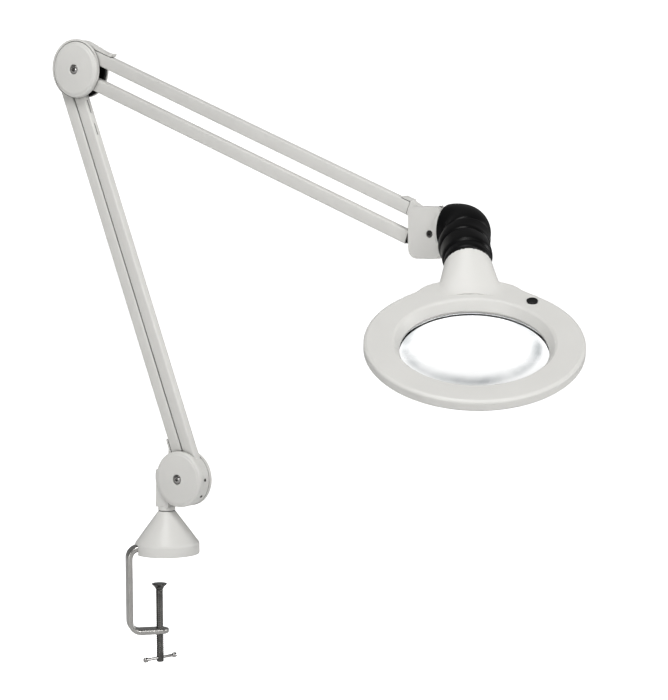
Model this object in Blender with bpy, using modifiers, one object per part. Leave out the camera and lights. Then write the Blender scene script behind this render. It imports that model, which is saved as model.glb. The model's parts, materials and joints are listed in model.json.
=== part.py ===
"""Clamp-on magnifying lamp: a spring-balanced parallelogram arm with a ring-lit glass lens.

Lengths are in millimetres until an object is made, and in metres from there on.
X is the direction the arm reaches in, Z is up, and the arm moves in the XZ plane.
The origin is on the table top, under the axis of the swivel post.
"""
import math

import bmesh
import bpy
from mathutils import Matrix, Vector

MM = 0.001
GAP = 0.3                       # running gap between neighbouring pieces

# Arm layout.
BASE_HUB = Vector((22.3, 0.0, 75.6))
LOWER_LEAN = math.radians(21.0)     # lower arm leans back from upright
UPPER_DROP = math.radians(21.2)     # upper arm drops from level
LOWER_SPAN = 415.0                  # hub to hub, along the lower bars
HUB_SHIFT = 27.0                    # elbow hub's offset across the lower bars
UPPER_SPAN = 417.0                  # pivot to pivot of an upper bar
HUB_RADIUS = 27.3
CHEEK_IN = 4.7                      # inner face of a hub cheek, from the arm plane
CHEEK_OUT = 8.4                     # outer face of the base yoke's cheek
COVER_FACE = 12.4                   # front of a hub cover
BAR_WIDTH = 13.0
BAR_DEPTH = 8.8
BAR_WALL = 1.2
EYE = 5.2                           # radius of a bar's eye end
PIN = 2.0
PIN_HOLE = 2.3
SCREW_SHANK = 2.8

# Lower arm, across (x) and along (y) its bars.
LOWER_INNER_X = 17.2
LOWER_OUTER_X = 3.6
BASE_OUTER_PIVOT = Vector((-8.0, 14.0))
ELBOW_INNER_PIVOT = Vector((LOWER_INNER_X - HUB_SHIFT, -10.0))
ELBOW_OUTER_PIVOT = ELBOW_INNER_PIVOT + BASE_OUTER_PIVOT
RIM = 26.9                          # radius of the inner foot's rim

# Upper arm, along (x) and across (y) its bars.
UPPER_TOP_Y = 18.55
UPPER_BOTTOM_Y = -6.63
UPPER_TOP_PIVOT = Vector((0.0, UPPER_TOP_Y))
UPPER_BOTTOM_PIVOT = Vector((10.0, UPPER_BOTTOM_Y))

# Head joint and head.
HEAD_PAN = math.radians(-55.2)
HEAD_DROP = math.radians(27.0)
JOINT_X = 344.0
JOINT_Z = 324.0
HEAD_REACH = 185.9                  # bend joint to the middle of the lens
NECK_START = 66.5                   # bend joint to the neck's rim
BELLOWS_START = -17.0
BELLOWS_BEND_END = 30.0
BELLOWS_SLACK = 3.4                 # how far the bend's middle sags back off the joint
RING_OUTER = 92.5
RING_EDGE = -9.0                    # bottom of the ring's outer wall
RING_BASE = -11.6                   # bottom of the ring's lower rim
LENS_EDGE = -12.2                   # top of the lens's edge

# Clamp.
CLAMP_TURN = math.radians(47.0)     # clamp's direction about the post
CLAMP_WIDTH = 18.0
CLAMP_THICK = 5.2
JAW_UNDER = 4.0                     # underside of the upper jaw
JAW_LOW = -79.0                     # underside of the lower jaw
BACK_OUTER = -40.5
SCREW_AT = -8.3
SCREW_RADIUS = 3.5
PAD_TOP = -29.7
SCREW_END = -107.5
TOMMY_Z = -103.5
TOMMY_TURN = math.radians(78.0)

COLOURS = {
    "enamel": ((0.66, 0.65, 0.62), 0.38, 0.0),
    "enamel_arm": ((0.60, 0.59, 0.565), 0.42, 0.0),
    "steel": ((0.42, 0.41, 0.39), 0.36, 1.0),
    "chrome": ((0.72, 0.72, 0.72), 0.12, 1.0),
    "dark_steel": ((0.09, 0.09, 0.09), 0.30, 1.0),
    "black_nylon": ((0.018, 0.018, 0.018), 0.45, 0.0),
    "rubber": ((0.012, 0.012, 0.012), 0.55, 0.0),
    "glass": ((0.96, 0.98, 0.98), 0.02, 0.0),
    "opal": ((0.93, 0.93, 0.92), 0.35, 0.0),
    "board": ((0.75, 0.75, 0.73), 0.50, 0.0),
}


# ---------------------------------------------------------------- tools

def clear_scene():
    for obj in list(bpy.data.objects):
        bpy.data.objects.remove(obj, do_unlink=True)


def new_collection(name, hidden=False):
    group = bpy.data.collections.new(name)
    bpy.context.scene.collection.children.link(group)
    group.hide_render = hidden
    return group


def material_for(node, slot):
    colour, rough, metal = COLOURS[slot]
    mat = bpy.data.materials.new(node + "_" + slot)
    mat.use_nodes = True
    shader = mat.node_tree.nodes["Principled BSDF"]
    shader.inputs["Base Color"].default_value = (*colour, 1.0)
    shader.inputs["Roughness"].default_value = rough
    shader.inputs["Metallic"].default_value = metal
    if slot == "glass":
        shader.inputs["Transmission Weight"].default_value = 1.0
    return mat


def add_object(name, data, frame, slot):
    """Link new data as a sub-part, or as a hidden cutter when slot is None."""
    obj = bpy.data.objects.new(name, data)
    obj.matrix_world = frame
    if slot is None:
        CUTTERS.objects.link(obj)
        obj.display_type = "WIRE"
        obj.hide_render = True
        return obj
    PARTS.objects.link(obj)
    data.materials.append(material_for(name, slot))
    return obj


def frame_at(origin, x_axis, y_axis):
    """Matrix, in metres, of a right-handed frame at a point in millimetres."""
    x = Vector(x_axis).normalized()
    z = x.cross(Vector(y_axis)).normalized()
    y = z.cross(x)
    rows = Matrix((x, y, z)).transposed().to_4x4()
    rows.translation = Vector(origin) * MM
    return rows


def shifted(frame, x=0.0, y=0.0, z=0.0):
    return frame @ Matrix.Translation(Vector((x, y, z)) * MM)


def in_plane(frame, point):
    """World position in millimetres of a frame's own point."""
    return frame @ (Vector((point[0], point[1], 0.0)) * MM) / MM


def arc(cx, cy, radius, start, end, steps):
    """Points of an arc, with angles in degrees."""
    points = []
    for i in range(steps + 1):
        a = math.radians(start + (end - start) * i / steps)
        points.append((cx + radius * math.cos(a), cy + radius * math.sin(a)))
    return points


def circle(cx, cy, radius, steps=20):
    return arc(cx, cy, radius, 0.0, 360.0, steps)[:-1]


def rounded_box(x0, x1, y0, y1, radius, steps=2):
    points = arc(x1 - radius, y1 - radius, radius, 0, 90, steps)
    points += arc(x0 + radius, y1 - radius, radius, 90, 180, steps)
    points += arc(x0 + radius, y0 + radius, radius, 180, 270, steps)
    points += arc(x1 - radius, y0 + radius, radius, 270, 360, steps)
    return points


def plate(name, outlines, z0, z1, frame, slot):
    """A flat piece between two heights of a frame: outer outline first, then its holes."""
    curve = bpy.data.curves.new(name, "CURVE")
    curve.dimensions = "2D"
    curve.fill_mode = "BOTH"
    curve.extrude = 0.5 * (z1 - z0) * MM
    for outline in outlines:
        spline = curve.splines.new("POLY")
        spline.points.add(len(outline) - 1)
        for point, (x, y) in zip(spline.points, outline):
            point.co = (x * MM, y * MM, 0.0, 1.0)
        spline.use_cyclic_u = True
    return add_object(name, curve, shifted(frame, z=0.5 * (z0 + z1)), slot)


def solid_plate(name, outlines, z0, z1, frame, slot):
    """A plate as a mesh, ready for Boolean and Bevel modifiers."""
    curve = plate(name + "_outline", outlines, z0, z1, frame, None)
    bpy.context.view_layer.update()
    depsgraph = bpy.context.evaluated_depsgraph_get()
    mesh = bpy.data.meshes.new_from_object(curve.evaluated_get(depsgraph))
    mesh.name = name
    place = curve.matrix_world.copy()
    bpy.data.objects.remove(curve, do_unlink=True)
    bm = bmesh.new()
    bm.from_mesh(mesh)
    bmesh.ops.remove_doubles(bm, verts=bm.verts, dist=0.01 * MM)
    bm.to_mesh(mesh)
    bm.free()
    mesh.materials.clear()
    return add_object(name, mesh, place, slot)


def turned(name, profile, steps, frame, slot, closed=False):
    """A piece turned about a frame's z axis from a profile of (radius, height) points."""
    mesh = bpy.data.meshes.new(name)
    bm = bmesh.new()
    verts = [bm.verts.new((r * MM, 0.0, z * MM)) for r, z in profile]
    for a, b in zip(verts, verts[1:]):
        bm.edges.new((a, b))
    if closed:
        bm.edges.new((verts[-1], verts[0]))
    bm.to_mesh(mesh)
    bm.free()
    obj = add_object(name, mesh, frame, slot)
    screw = obj.modifiers.new("Turn", "SCREW")
    screw.axis = "Z"
    screw.steps = steps
    screw.render_steps = steps
    screw.use_merge_vertices = True
    screw.merge_threshold = 0.00005
    screw.use_smooth_shade = False
    return obj


def block(name, x0, x1, y0, y1, z0, z1, frame, slot):
    mesh = bpy.data.meshes.new(name)
    bm = bmesh.new()
    bmesh.ops.create_cube(bm, size=1.0)
    size = Vector((x1 - x0, y1 - y0, z1 - z0)) * MM
    middle = Vector((x0 + x1, y0 + y1, z0 + z1)) * 0.5 * MM
    bmesh.ops.scale(bm, vec=size, verts=bm.verts)
    bmesh.ops.translate(bm, vec=middle, verts=bm.verts)
    bm.to_mesh(mesh)
    bm.free()
    return add_object(name, mesh, frame, slot)


def rod(name, radius, z0, z1, frame, slot, steps=20, end_radius=None):
    mesh = bpy.data.meshes.new(name)
    bm = bmesh.new()
    top = radius if end_radius is None else end_radius
    bmesh.ops.create_cone(bm, cap_ends=True, segments=steps, radius1=radius * MM,
                          radius2=top * MM, depth=(z1 - z0) * MM)
    bmesh.ops.translate(bm, vec=(0.0, 0.0, 0.5 * (z0 + z1) * MM), verts=bm.verts)
    bm.to_mesh(mesh)
    bm.free()
    return add_object(name, mesh, frame, slot)


def combine(obj, operation, other):
    step = obj.modifiers.new(operation.title(), "BOOLEAN")
    step.operation = operation
    step.solver = "EXACT"
    step.object = other


def cut(obj, *others):
    for other in others:
        combine(obj, "DIFFERENCE", other)


def join(obj, *others):
    for other in others:
        combine(obj, "UNION", other)


def soften(obj, width, segments=1, angle=35.0):
    bevel = obj.modifiers.new("Edges", "BEVEL")
    bevel.width = width * MM
    bevel.segments = segments
    bevel.limit_method = "ANGLE"
    bevel.angle_limit = math.radians(angle)


def along(frame, x, y, direction_z):
    """The frame moved to (x, y), with its z axis turned to a direction of the frame's own."""
    turn = Vector((0.0, 0.0, 1.0)).rotation_difference(Vector(direction_z)).to_matrix().to_4x4()
    return shifted(frame, x, y) @ turn


def lower_frame(origin):
    """x runs across the lower bars, y up along them, z out of the arm's front face."""
    across = (math.cos(LOWER_LEAN), 0.0, math.sin(LOWER_LEAN))
    up = (-math.sin(LOWER_LEAN), 0.0, math.cos(LOWER_LEAN))
    return frame_at(origin, across, up)


def upper_frame(origin):
    """x runs out along the upper bars, y across them, z out of the arm's front face."""
    out = (math.cos(UPPER_DROP), 0.0, -math.sin(UPPER_DROP))
    across = (math.sin(UPPER_DROP), 0.0, math.cos(UPPER_DROP))
    return frame_at(origin, out, across)


# ---------------------------------------------------------------- pieces used more than once

def bar_tube(name, x, y0, y1, frame, along_x=False):
    """A rectangular steel tube between two points of an arm's frame."""
    half_w = 0.5 * BAR_WIDTH
    half_d = 0.5 * BAR_DEPTH
    outer = rounded_box(-half_w, half_w, -half_d, half_d, 1.0)
    inner = rounded_box(-half_w + BAR_WALL, half_w - BAR_WALL,
                        -half_d + BAR_WALL, half_d - BAR_WALL, 0.5, 1)
    if along_x:
        turn = along(frame, y0, x, (1.0, 0.0, 0.0)) @ Matrix.Rotation(math.radians(90), 4, "Z")
    else:
        turn = along(frame, x, y0, (0.0, 1.0, 0.0))
    return plate(name, [outer, inner], 0.0, y1 - y0, turn, "enamel_arm")


def plug(name, x0, x1, y0, y1, frame):
    """The part of an end fitting that sits inside its tube."""
    half = 0.5 * BAR_DEPTH - BAR_WALL - GAP
    return block(name, x0, x1, y0, y1, -half, half, frame, None)


def eye_end(name, pivot, toward, length, frame, slot):
    """A bar's solid end with its pivot hole; toward points from the pivot into the bar."""
    axis = Vector(toward).normalized()
    outline = []
    turn = math.degrees(math.atan2(axis.y, axis.x))
    for x, y in arc(0.0, 0.0, EYE, 90.0, 270.0, 8):
        outline.append((x, y))
    outline += [(length, -EYE + GAP), (length, EYE - GAP)]
    spot = shifted(frame, pivot[0], pivot[1]) @ Matrix.Rotation(math.radians(turn), 4, "Z")
    half = 0.5 * BAR_DEPTH - BAR_WALL - GAP
    return plate(name, [outline, circle(0.0, 0.0, PIN_HOLE, 14)], -half, half, spot, slot)


def hub_cover(name, frame):
    """Domed front disc of a hub, with a bevelled rim and a recess for the centre screw."""
    face = COVER_FACE
    seat = face - 2.8
    profile = [
        (4.9, face - 0.6), (5.5, face), (23.6, face - 0.5), (24.4, face - 1.1),
        (26.6, face - 1.7), (HUB_RADIUS, face - 2.8), (HUB_RADIUS, CHEEK_IN),
        (SCREW_SHANK + GAP, CHEEK_IN), (SCREW_SHANK + GAP, seat), (4.9, seat),
    ]
    return turned(name, profile, 40, frame, "enamel", closed=True)


def centre_screw(name, frame):
    """Chrome pivot screw: round head in the cover's recess, shank through the hub."""
    top = COVER_FACE - 0.4
    seat = COVER_FACE - 2.5
    profile = [(0.0, top - 1.2), (1.8, top - 1.2), (2.0, top), (3.4, top - 0.2), (4.3, top - 1.0),
               (4.3, seat), (SCREW_SHANK, seat), (SCREW_SHANK, -10.6), (0.0, -10.6)]
    return turned(name, profile, 20, frame, "chrome")


def pivot_nut(name, frame, z0):
    body = rod(name, 4.8, z0 - 2.4, z0, frame, "chrome", steps=6)
    cut(body, rod(name + "_bore", SCREW_SHANK + 0.25, z0 - 4.0, z0 + 2.0, frame, None, 16))
    return body


def pin(name, pivot, frame, z0=-6.2, z1=6.2):
    """A pivot pin whose ends sit in blind holes of both cheeks."""
    return rod(name, PIN, z0, z1, shifted(frame, pivot[0], pivot[1]), "steel", steps=14)


def coil(name, x, y0, y1, frame, along_x=False):
    """Tension spring inside a tube, with a straight tail at each end."""
    turns = 18
    per_turn = 6
    radius = 2.1
    curve = bpy.data.curves.new(name, "CURVE")
    curve.dimensions = "3D"
    curve.bevel_depth = 0.45 * MM
    curve.bevel_resolution = 0
    curve.use_fill_caps = True
    curve.resolution_u = 1
    spline = curve.splines.new("POLY")
    tail = 0.25 * (y1 - y0)
    count = turns * per_turn + 1
    points = [(0.0, 0.0, 0.0)]
    for i in range(count):
        a = 2.0 * math.pi * i / per_turn
        height = tail + (y1 - y0 - 2.0 * tail) * i / (count - 1)
        points.append((radius * math.cos(a), radius * math.sin(a), height))
    points.append((0.0, 0.0, y1 - y0))
    spline.points.add(len(points) - 1)
    for point, (px, py, pz) in zip(spline.points, points):
        point.co = (px * MM, py * MM, pz * MM, 1.0)
    if along_x:
        place = along(frame, y0, x, (1.0, 0.0, 0.0))
    else:
        place = along(frame, x, y0, (0.0, 1.0, 0.0))
    return add_object(name, curve, place, "steel")


def small_screw(name, radius, length, frame, slot="dark_steel"):
    """Head on the frame's z = 0 plane, standing out along +z, shank behind it."""
    profile = [(0.0, 0.3), (0.45 * radius, 0.3), (0.5 * radius, 0.8), (0.85 * radius, 0.8),
               (radius, 0.4), (radius, 0.0), (0.5 * radius, 0.0), (0.5 * radius, -length),
               (0.0, -length)]
    return turned(name, profile, 10, frame, slot)


# ---------------------------------------------------------------- clamp

def clamp_frame_axes():
    """x runs from the clamp's back towards its screw, y is up."""
    across = (math.cos(CLAMP_TURN), math.sin(CLAMP_TURN), 0.0)
    return frame_at((0.0, 0.0, 0.0), across, (0.0, 0.0, 1.0))


def build_clamp():
    axes = clamp_frame_axes()
    half = 0.5 * CLAMP_WIDTH
    top = JAW_UNDER + CLAMP_THICK
    low_top = JAW_LOW + CLAMP_THICK
    inner_r = 8.0
    outer_r = inner_r + CLAMP_THICK
    bend_x = BACK_OUTER + outer_r
    outline = [(12.0, JAW_UNDER), (12.0, top)]
    outline += arc(bend_x, top - outer_r, outer_r, 90, 180, 7)
    outline += arc(bend_x, JAW_LOW + outer_r, outer_r, 180, 270, 7)
    outline += [(SCREW_AT, JAW_LOW), (SCREW_AT, low_top)]
    outline += arc(bend_x, JAW_LOW + outer_r, inner_r, 270, 180, 6)
    outline += arc(bend_x, top - outer_r, inner_r, 180, 90, 6)
    frame = solid_plate("clamp_frame", [outline], -half, half, axes, "steel")
    soften(frame, 1.1, 2)
    screw_axis = vertical_at(SCREW_AT)
    join(frame, rod("jaw_boss", half - 0.02, JAW_LOW + 0.02, low_top - 0.02, screw_axis, None, 28))
    cut(frame, rod("jaw_bore", SCREW_RADIUS + GAP, JAW_LOW - 2, low_top + 2, screw_axis, None, 24))
    cut(frame, rod("post_bolt_bore", 3.3, 0.0, 12.0, vertical_at(0.0), None, 20))
    cut(frame, rod("post_bolt_well", 5.5, 0.0, 6.3, vertical_at(0.0), None, 20))

    pad = rod("jaw_pad", 28.6, 0.0, JAW_UNDER - GAP, vertical_at(0.0), "rubber", steps=40)
    soften(pad, 0.5, 1)

    socket = turned("post_socket", [
        (5.3, 41.0), (7.3, 41.0), (7.6, 40.6), (8.6, 15.0), (13.5, 13.2), (13.5, top + GAP),
        (4.9, top + GAP), (4.9, 11.4), (5.3, 11.4)], 28, vertical_at(0.0), "steel", closed=True)
    cut(socket, block("socket_flat_a", 8.9, 20.0, -20, 20, 8, 42, axes_up(), None))
    turned("socket_bolt", [(0.0, 11.2), (3.0, 11.2), (3.0, 6.0), (5.2, 6.0), (5.2, 4.1),
                           (0.0, 4.1)], 16, vertical_at(0.0), "dark_steel")

    cone = turned("cone_cover", [
        (7.9, 42.1), (8.4, 42.1), (9.0, 41.4), (31.0, 11.2), (31.6, 10.2), (31.65, 0.0),
        (29.7, 0.0), (29.6, 9.6), (7.9, 39.4)], 48, vertical_at(0.0), "enamel", closed=True)
    slot = block("cone_slot", -40.0, -22.0, -1.0, top + 0.5, -half - 0.5, half + 0.5, axes, None)
    cut(cone, slot)


def vertical_at(x):
    """Upright frame on the clamp's own x axis."""
    spot = in_plane(clamp_frame_axes(), (x, 0.0))
    return frame_at((spot.x, spot.y, 0.0), (1.0, 0.0, 0.0), (0.0, 1.0, 0.0))


def axes_up():
    """Upright frame on the post, turned with the clamp."""
    across = (math.cos(CLAMP_TURN), math.sin(CLAMP_TURN), 0.0)
    side = (-math.sin(CLAMP_TURN), math.cos(CLAMP_TURN), 0.0)
    return frame_at((0.0, 0.0, 0.0), across, side)


def build_clamp_screw():
    spot = vertical_at(SCREW_AT)
    turned("pressure_pad", [
        (0.0, PAD_TOP), (7.4, PAD_TOP), (7.7, PAD_TOP - 0.5), (7.5, PAD_TOP - 1.2),
        (5.2, PAD_TOP - 2.7), (4.1, PAD_TOP - 4.6), (3.9, PAD_TOP - 5.6), (2.6, PAD_TOP - 5.6),
        (2.6, PAD_TOP - 1.9), (0.0, PAD_TOP - 1.9)], 28, spot, "dark_steel")
    shoulder = PAD_TOP - 5.9
    screw = turned("clamp_screw", [
        (0.0, PAD_TOP - 2.2), (2.2, PAD_TOP - 2.6), (2.3, shoulder), (3.1, shoulder),
        (SCREW_RADIUS, shoulder - 0.5), (SCREW_RADIUS, SCREW_END + 0.8),
        (SCREW_RADIUS - 0.8, SCREW_END), (0.0, SCREW_END)], 20, spot, "dark_steel")
    side = (math.cos(TOMMY_TURN), math.sin(TOMMY_TURN), 0.0)
    place = spot.translation / MM + Vector((0.0, 0.0, TOMMY_Z))
    cross = frame_at(place, (0.0, 0.0, 1.0), Vector(side).cross(Vector((0.0, 0.0, 1.0))))
    if (cross.to_3x3() @ Vector((0.0, 0.0, 1.0))).dot(Vector(side)) < 0.0:
        cross = cross @ Matrix.Rotation(math.pi, 4, "X")
    cut(screw, rod("tommy_bore", 1.75, -8.0, 8.0, cross, None, 16))
    half = 20.0
    knob = 2.4
    end = [(0.0, half), (knob - 0.4, half), (knob, half - 0.5), (knob, half - 3.4),
           (knob - 0.5, half - 3.9), (1.4, half - 4.2)]
    other = [(r, -z) for r, z in reversed(end)]
    turned("tommy_bar", end + other, 16, cross, "chrome")


# ---------------------------------------------------------------- base joint

def stem_outline(radius):
    """Side view of the yoke's stem, hollowed to a radius about the hub."""
    foot = -BASE_HUB.x
    low = 46.4 - BASE_HUB.z
    points = [(foot - 7.8, low), (foot + 7.4, low)]
    points += arc(0.0, 0.0, radius, 238.0, 165.0, 12)
    return points + arc(0.0, 0.0, HUB_RADIUS + 2.6, 165.0, 192.0, 4)


def build_base():
    hub = lower_frame(BASE_HUB)
    upright = frame_at(BASE_HUB, (1.0, 0.0, 0.0), (0.0, 0.0, 1.0))
    yoke = solid_plate("base_yoke", [circle(0.0, 0.0, HUB_RADIUS, 48)],
                       -CHEEK_OUT, -CHEEK_IN, upright, "enamel")
    join(yoke, solid_plate("yoke_stem_rear", [stem_outline(HUB_RADIUS - 1.5)],
                           -CHEEK_OUT + 0.1, -CHEEK_IN - 0.05, upright, None))
    join(yoke, solid_plate("yoke_stem", [stem_outline(HUB_RADIUS + 0.5)],
                           -CHEEK_OUT + 0.2, 7.9, upright, None))
    post_axis = vertical_at(0.0)
    join(yoke, rod("yoke_collar", 8.5, 43.0, 46.9, post_axis, None, 28))
    cut(yoke, rod("post_hole", 4.6, 40.0, 52.0, post_axis, None, 20))
    cut(yoke, rod("yoke_bore", SCREW_SHANK + GAP, -20.0, 20.0, hub, None, 16))
    cut(yoke, rod("yoke_nut_well", 5.7, -12.0, -6.9, hub, None, 20))
    cut(yoke, rod("yoke_pin_well", PIN_HOLE, -6.6, -4.0,
                  shifted(hub, *BASE_OUTER_PIVOT), None, 14))

    turned("base_post", [(0.0, 51.5), (4.3, 51.5), (4.3, 42.6), (5.0, 42.4), (5.0, 12.2),
                         (4.4, 11.6), (0.0, 11.6)], 24, post_axis, "steel")
    cover = hub_cover("base_front_cover", hub)
    cut(cover, rod("cover_pin_well", PIN_HOLE, 4.0, 6.6, shifted(hub, *BASE_OUTER_PIVOT), None, 14))
    centre_screw("base_centre_screw", hub)
    pivot_nut("base_pivot_nut", hub, -7.2)
    pin("base_outer_pin", BASE_OUTER_PIVOT, hub)


# ---------------------------------------------------------------- lower arm

def build_lower_inner():
    hub = lower_frame(BASE_HUB)
    elbow = lower_frame(elbow_hub())
    x = LOWER_INNER_X
    right = x + 0.5 * BAR_WIDTH
    left = x - 0.5 * BAR_WIDTH
    shoulder = math.sqrt(RIM ** 2 - right ** 2)
    boss = 6.1
    start = math.degrees(math.atan2(shoulder, right))
    outline = arc(0.0, 0.0, RIM, start, -105.0, 20)
    outline += arc(0.0, 0.0, boss, -125.0, -330.0, 12)
    outline += [(left + 0.2, 4.6), (left + 0.2, shoulder)]
    half = CHEEK_IN - 0.45
    foot = solid_plate("lower_inner_foot", [outline], -half, half, hub, "enamel")
    join(foot, plug("inner_foot_plug", x - 5.0, x + 5.0, shoulder - 2.0, shoulder + 16.0, hub))
    cut(foot, rod("inner_foot_bore", SCREW_SHANK + GAP, -9.0, 9.0, hub, None, 16))
    for number, angle in ((1, -20.0), (2, -57.0)):
        radial = (math.cos(math.radians(angle)), math.sin(math.radians(angle)), 0.0)
        seat = along(shifted(hub, z=2.0), RIM * radial[0], RIM * radial[1], radial)
        cut(foot, rod("rim_hole_%d" % number, 1.0, -7.0, 2.0, seat, None, 12))
        small_screw("rim_screw_%d" % number, 1.5, 5.0, shifted(seat, z=0.05))

    top = LOWER_SPAN - 18.0
    bar_tube("lower_inner_tube", x, shoulder + GAP, top, hub)
    eye_end("lower_inner_head", ELBOW_INNER_PIVOT, (0.0, -1.0), 22.0, elbow, "black_nylon")


def build_lower_outer():
    hub = lower_frame(BASE_HUB)
    elbow = lower_frame(elbow_hub())
    x = LOWER_OUTER_X
    left = x - 0.5 * BAR_WIDTH
    px, py = BASE_OUTER_PIVOT
    shoulder = 27.0
    outline = arc(px, py, EYE, -180.0, 0.0, 8)
    outline += [(px + EYE, 25.9), (x + 0.5 * BAR_WIDTH, 25.9), (x + 0.5 * BAR_WIDTH, shoulder)]
    outline += [(left - GAP, shoulder), (left - GAP, 41.0), (left - 1.4, 42.0), (left - 2.0, 41.4)]
    outline += [(left - 2.2, 32.0), (left - 4.6, 27.4), (px - EYE, 23.4)]
    half = CHEEK_IN - 0.45
    foot = solid_plate("lower_outer_foot", [outline], -half, half, hub, "enamel")
    join(foot, plug("outer_foot_plug", x - 5.0, x + 5.0, shoulder - 1.0, shoulder + 14.0, hub))
    cut(foot, rod("outer_foot_bore", PIN_HOLE, -9.0, 9.0, shifted(hub, px, py), None, 14))

    top = LOWER_SPAN - 12.0
    bar_tube("lower_outer_tube", x, shoulder + GAP, top, hub)

    ex = x - HUB_SHIFT
    qx, qy = ELBOW_OUTER_PIVOT
    edge = ex - 0.5 * BAR_WIDTH
    base = -12.0 + GAP
    outline = [(ex + 0.5 * BAR_WIDTH, base), (ex + 0.5 * BAR_WIDTH, -2.4)]
    outline += arc(qx, qy, EYE, -40.0, 75.0, 7)
    outline += arc(edge + 8.0, 6.5, 8.0, 75.0, 180.0, 6)
    outline += [(edge, base)]
    head = solid_plate("lower_outer_head", [outline], -half, half, elbow, "enamel")
    join(head, plug("outer_head_plug", ex - 5.0, ex + 5.0, base - 14.0, base + 1.0, elbow))
    cut(head, rod("outer_head_bore", PIN_HOLE + 0.4, -9.0, 9.0, shifted(elbow, qx, qy), None, 14))
    coil("lower_spring", x, shoulder + 16.0, top - 16.0, hub)


# ---------------------------------------------------------------- elbow

def elbow_hub():
    return in_plane(lower_frame(BASE_HUB), (HUB_SHIFT, LOWER_SPAN))


def build_elbow():
    lower = lower_frame(elbow_hub())
    upper = upper_frame(elbow_hub())
    turned("elbow_rear_plate", [
        (SCREW_SHANK + GAP, -7.1), (HUB_RADIUS - 0.3, -7.1), (HUB_RADIUS, -7.4),
        (HUB_RADIUS, -9.4), (HUB_RADIUS - 2.2, -10.6), (6.0, -11.0), (6.0, -9.0),
        (SCREW_SHANK + GAP, -9.0)], 48, upper, "enamel", closed=True)
    core = turned("elbow_core", [
        (SCREW_SHANK + GAP, 4.4), (4.9, 4.4), (4.9, -CHEEK_IN), (26.8, -CHEEK_IN),
        (26.8, -6.8), (SCREW_SHANK + GAP, -6.8)], 40, upper, "black_nylon", closed=True)
    cover = hub_cover("elbow_front_cover", upper)
    join(cover, turned("elbow_band", [(12.0, 9.0), (28.3, 9.0), (28.9, 8.3), (28.9, 5.0),
                                      (12.0, 5.0)], 48, shifted(upper, -1.8, 0.3), None,
                       closed=True))
    pivots = {
        "elbow_outer_pin": (lower, ELBOW_OUTER_PIVOT),
        "elbow_inner_pin": (lower, ELBOW_INNER_PIVOT),
        "elbow_top_pin": (upper, UPPER_TOP_PIVOT),
        "elbow_bottom_pin": (upper, UPPER_BOTTOM_PIVOT),
    }
    for name, (frame, pivot) in pivots.items():
        spot = shifted(frame, *pivot)
        cut(core, rod(name + "_rear_well", PIN_HOLE, -6.3, -4.0, spot, None, 14))
        cut(cover, rod(name + "_front_well", PIN_HOLE, 4.0, 6.6, spot, None, 14))
        pin(name, pivot, frame, -6.0, 6.3)
    centre_screw("elbow_centre_screw", upper)
    pivot_nut("elbow_pivot_nut", shifted(upper, z=-2.1), -7.2)


# ---------------------------------------------------------------- upper arm

def build_upper_top():
    elbow = upper_frame(elbow_hub())
    y = UPPER_TOP_Y
    low = y - 0.5 * BAR_WIDTH
    high = y + 0.5 * BAR_WIDTH
    shoulder = 9.7
    crown = HUB_RADIUS + 1.6
    outline = [(shoulder, low), (shoulder, high + GAP), (33.6, high + GAP), (34.2, 28.8)]
    outline += [(33.2, 29.0), (31.0, 27.5), (24.0, 27.1), (18.5, 27.3), (13.5, 28.0)]
    outline += arc(0.0, 0.0, crown, 76.0, 104.0, 5)
    outline += arc(-2.0, y, 6.6, 150.0, 270.0, 6)
    half = CHEEK_IN - 0.45
    root = solid_plate("upper_top_root", [outline], -half, half, elbow, "enamel")
    join(root, plug("top_root_plug", shoulder - 1.0, shoulder + 14.0, y - 5.0, y + 5.0, elbow))
    cut(root, rod("top_root_bore", PIN_HOLE, -9.0, 9.0, shifted(elbow, 0.0, y), None, 14))

    end = UPPER_SPAN - 9.0
    bar_tube("upper_top_tube", y, shoulder + GAP, end, elbow, along_x=True)
    far = shifted(elbow, UPPER_SPAN)
    outline = arc(0.0, y, 6.2, -90.0, 90.0, 10)
    outline += [(-8.0, high + 1.0), (-8.6, high + 2.2), (-18.0, high + 2.0), (-19.4, high + 1.4)]
    outline += [(-19.4, high + GAP), (-9.0 + GAP, high + GAP), (-9.0 + GAP, y - 6.2)]
    tail = solid_plate("upper_top_end", [outline], -half, half, far, "enamel")
    join(tail, plug("top_end_plug", -22.0, -8.0, y - 5.0, y + 5.0, far))
    cut(tail, rod("top_end_bore", PIN_HOLE, -9.0, 9.0, shifted(far, 0.0, y), None, 14))
    coil("upper_spring", y, shoulder + 16.0, end - 16.0, elbow, along_x=True)


def build_upper_bottom():
    elbow = upper_frame(elbow_hub())
    y = UPPER_BOTTOM_Y
    start = UPPER_BOTTOM_PIVOT.x + 8.0
    end = UPPER_BOTTOM_PIVOT.x + UPPER_SPAN - 11.0
    eye_end("upper_bottom_root", UPPER_BOTTOM_PIVOT, (1.0, 0.0), 22.0, elbow, "black_nylon")
    bar_tube("upper_bottom_tube", y, start, end, elbow, along_x=True)
    far = UPPER_BOTTOM_PIVOT + Vector((UPPER_SPAN, 0.0))
    eye_end("upper_bottom_end", far, (-1.0, 0.0), 24.0, elbow, "black_nylon")


# ---------------------------------------------------------------- head bracket

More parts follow.
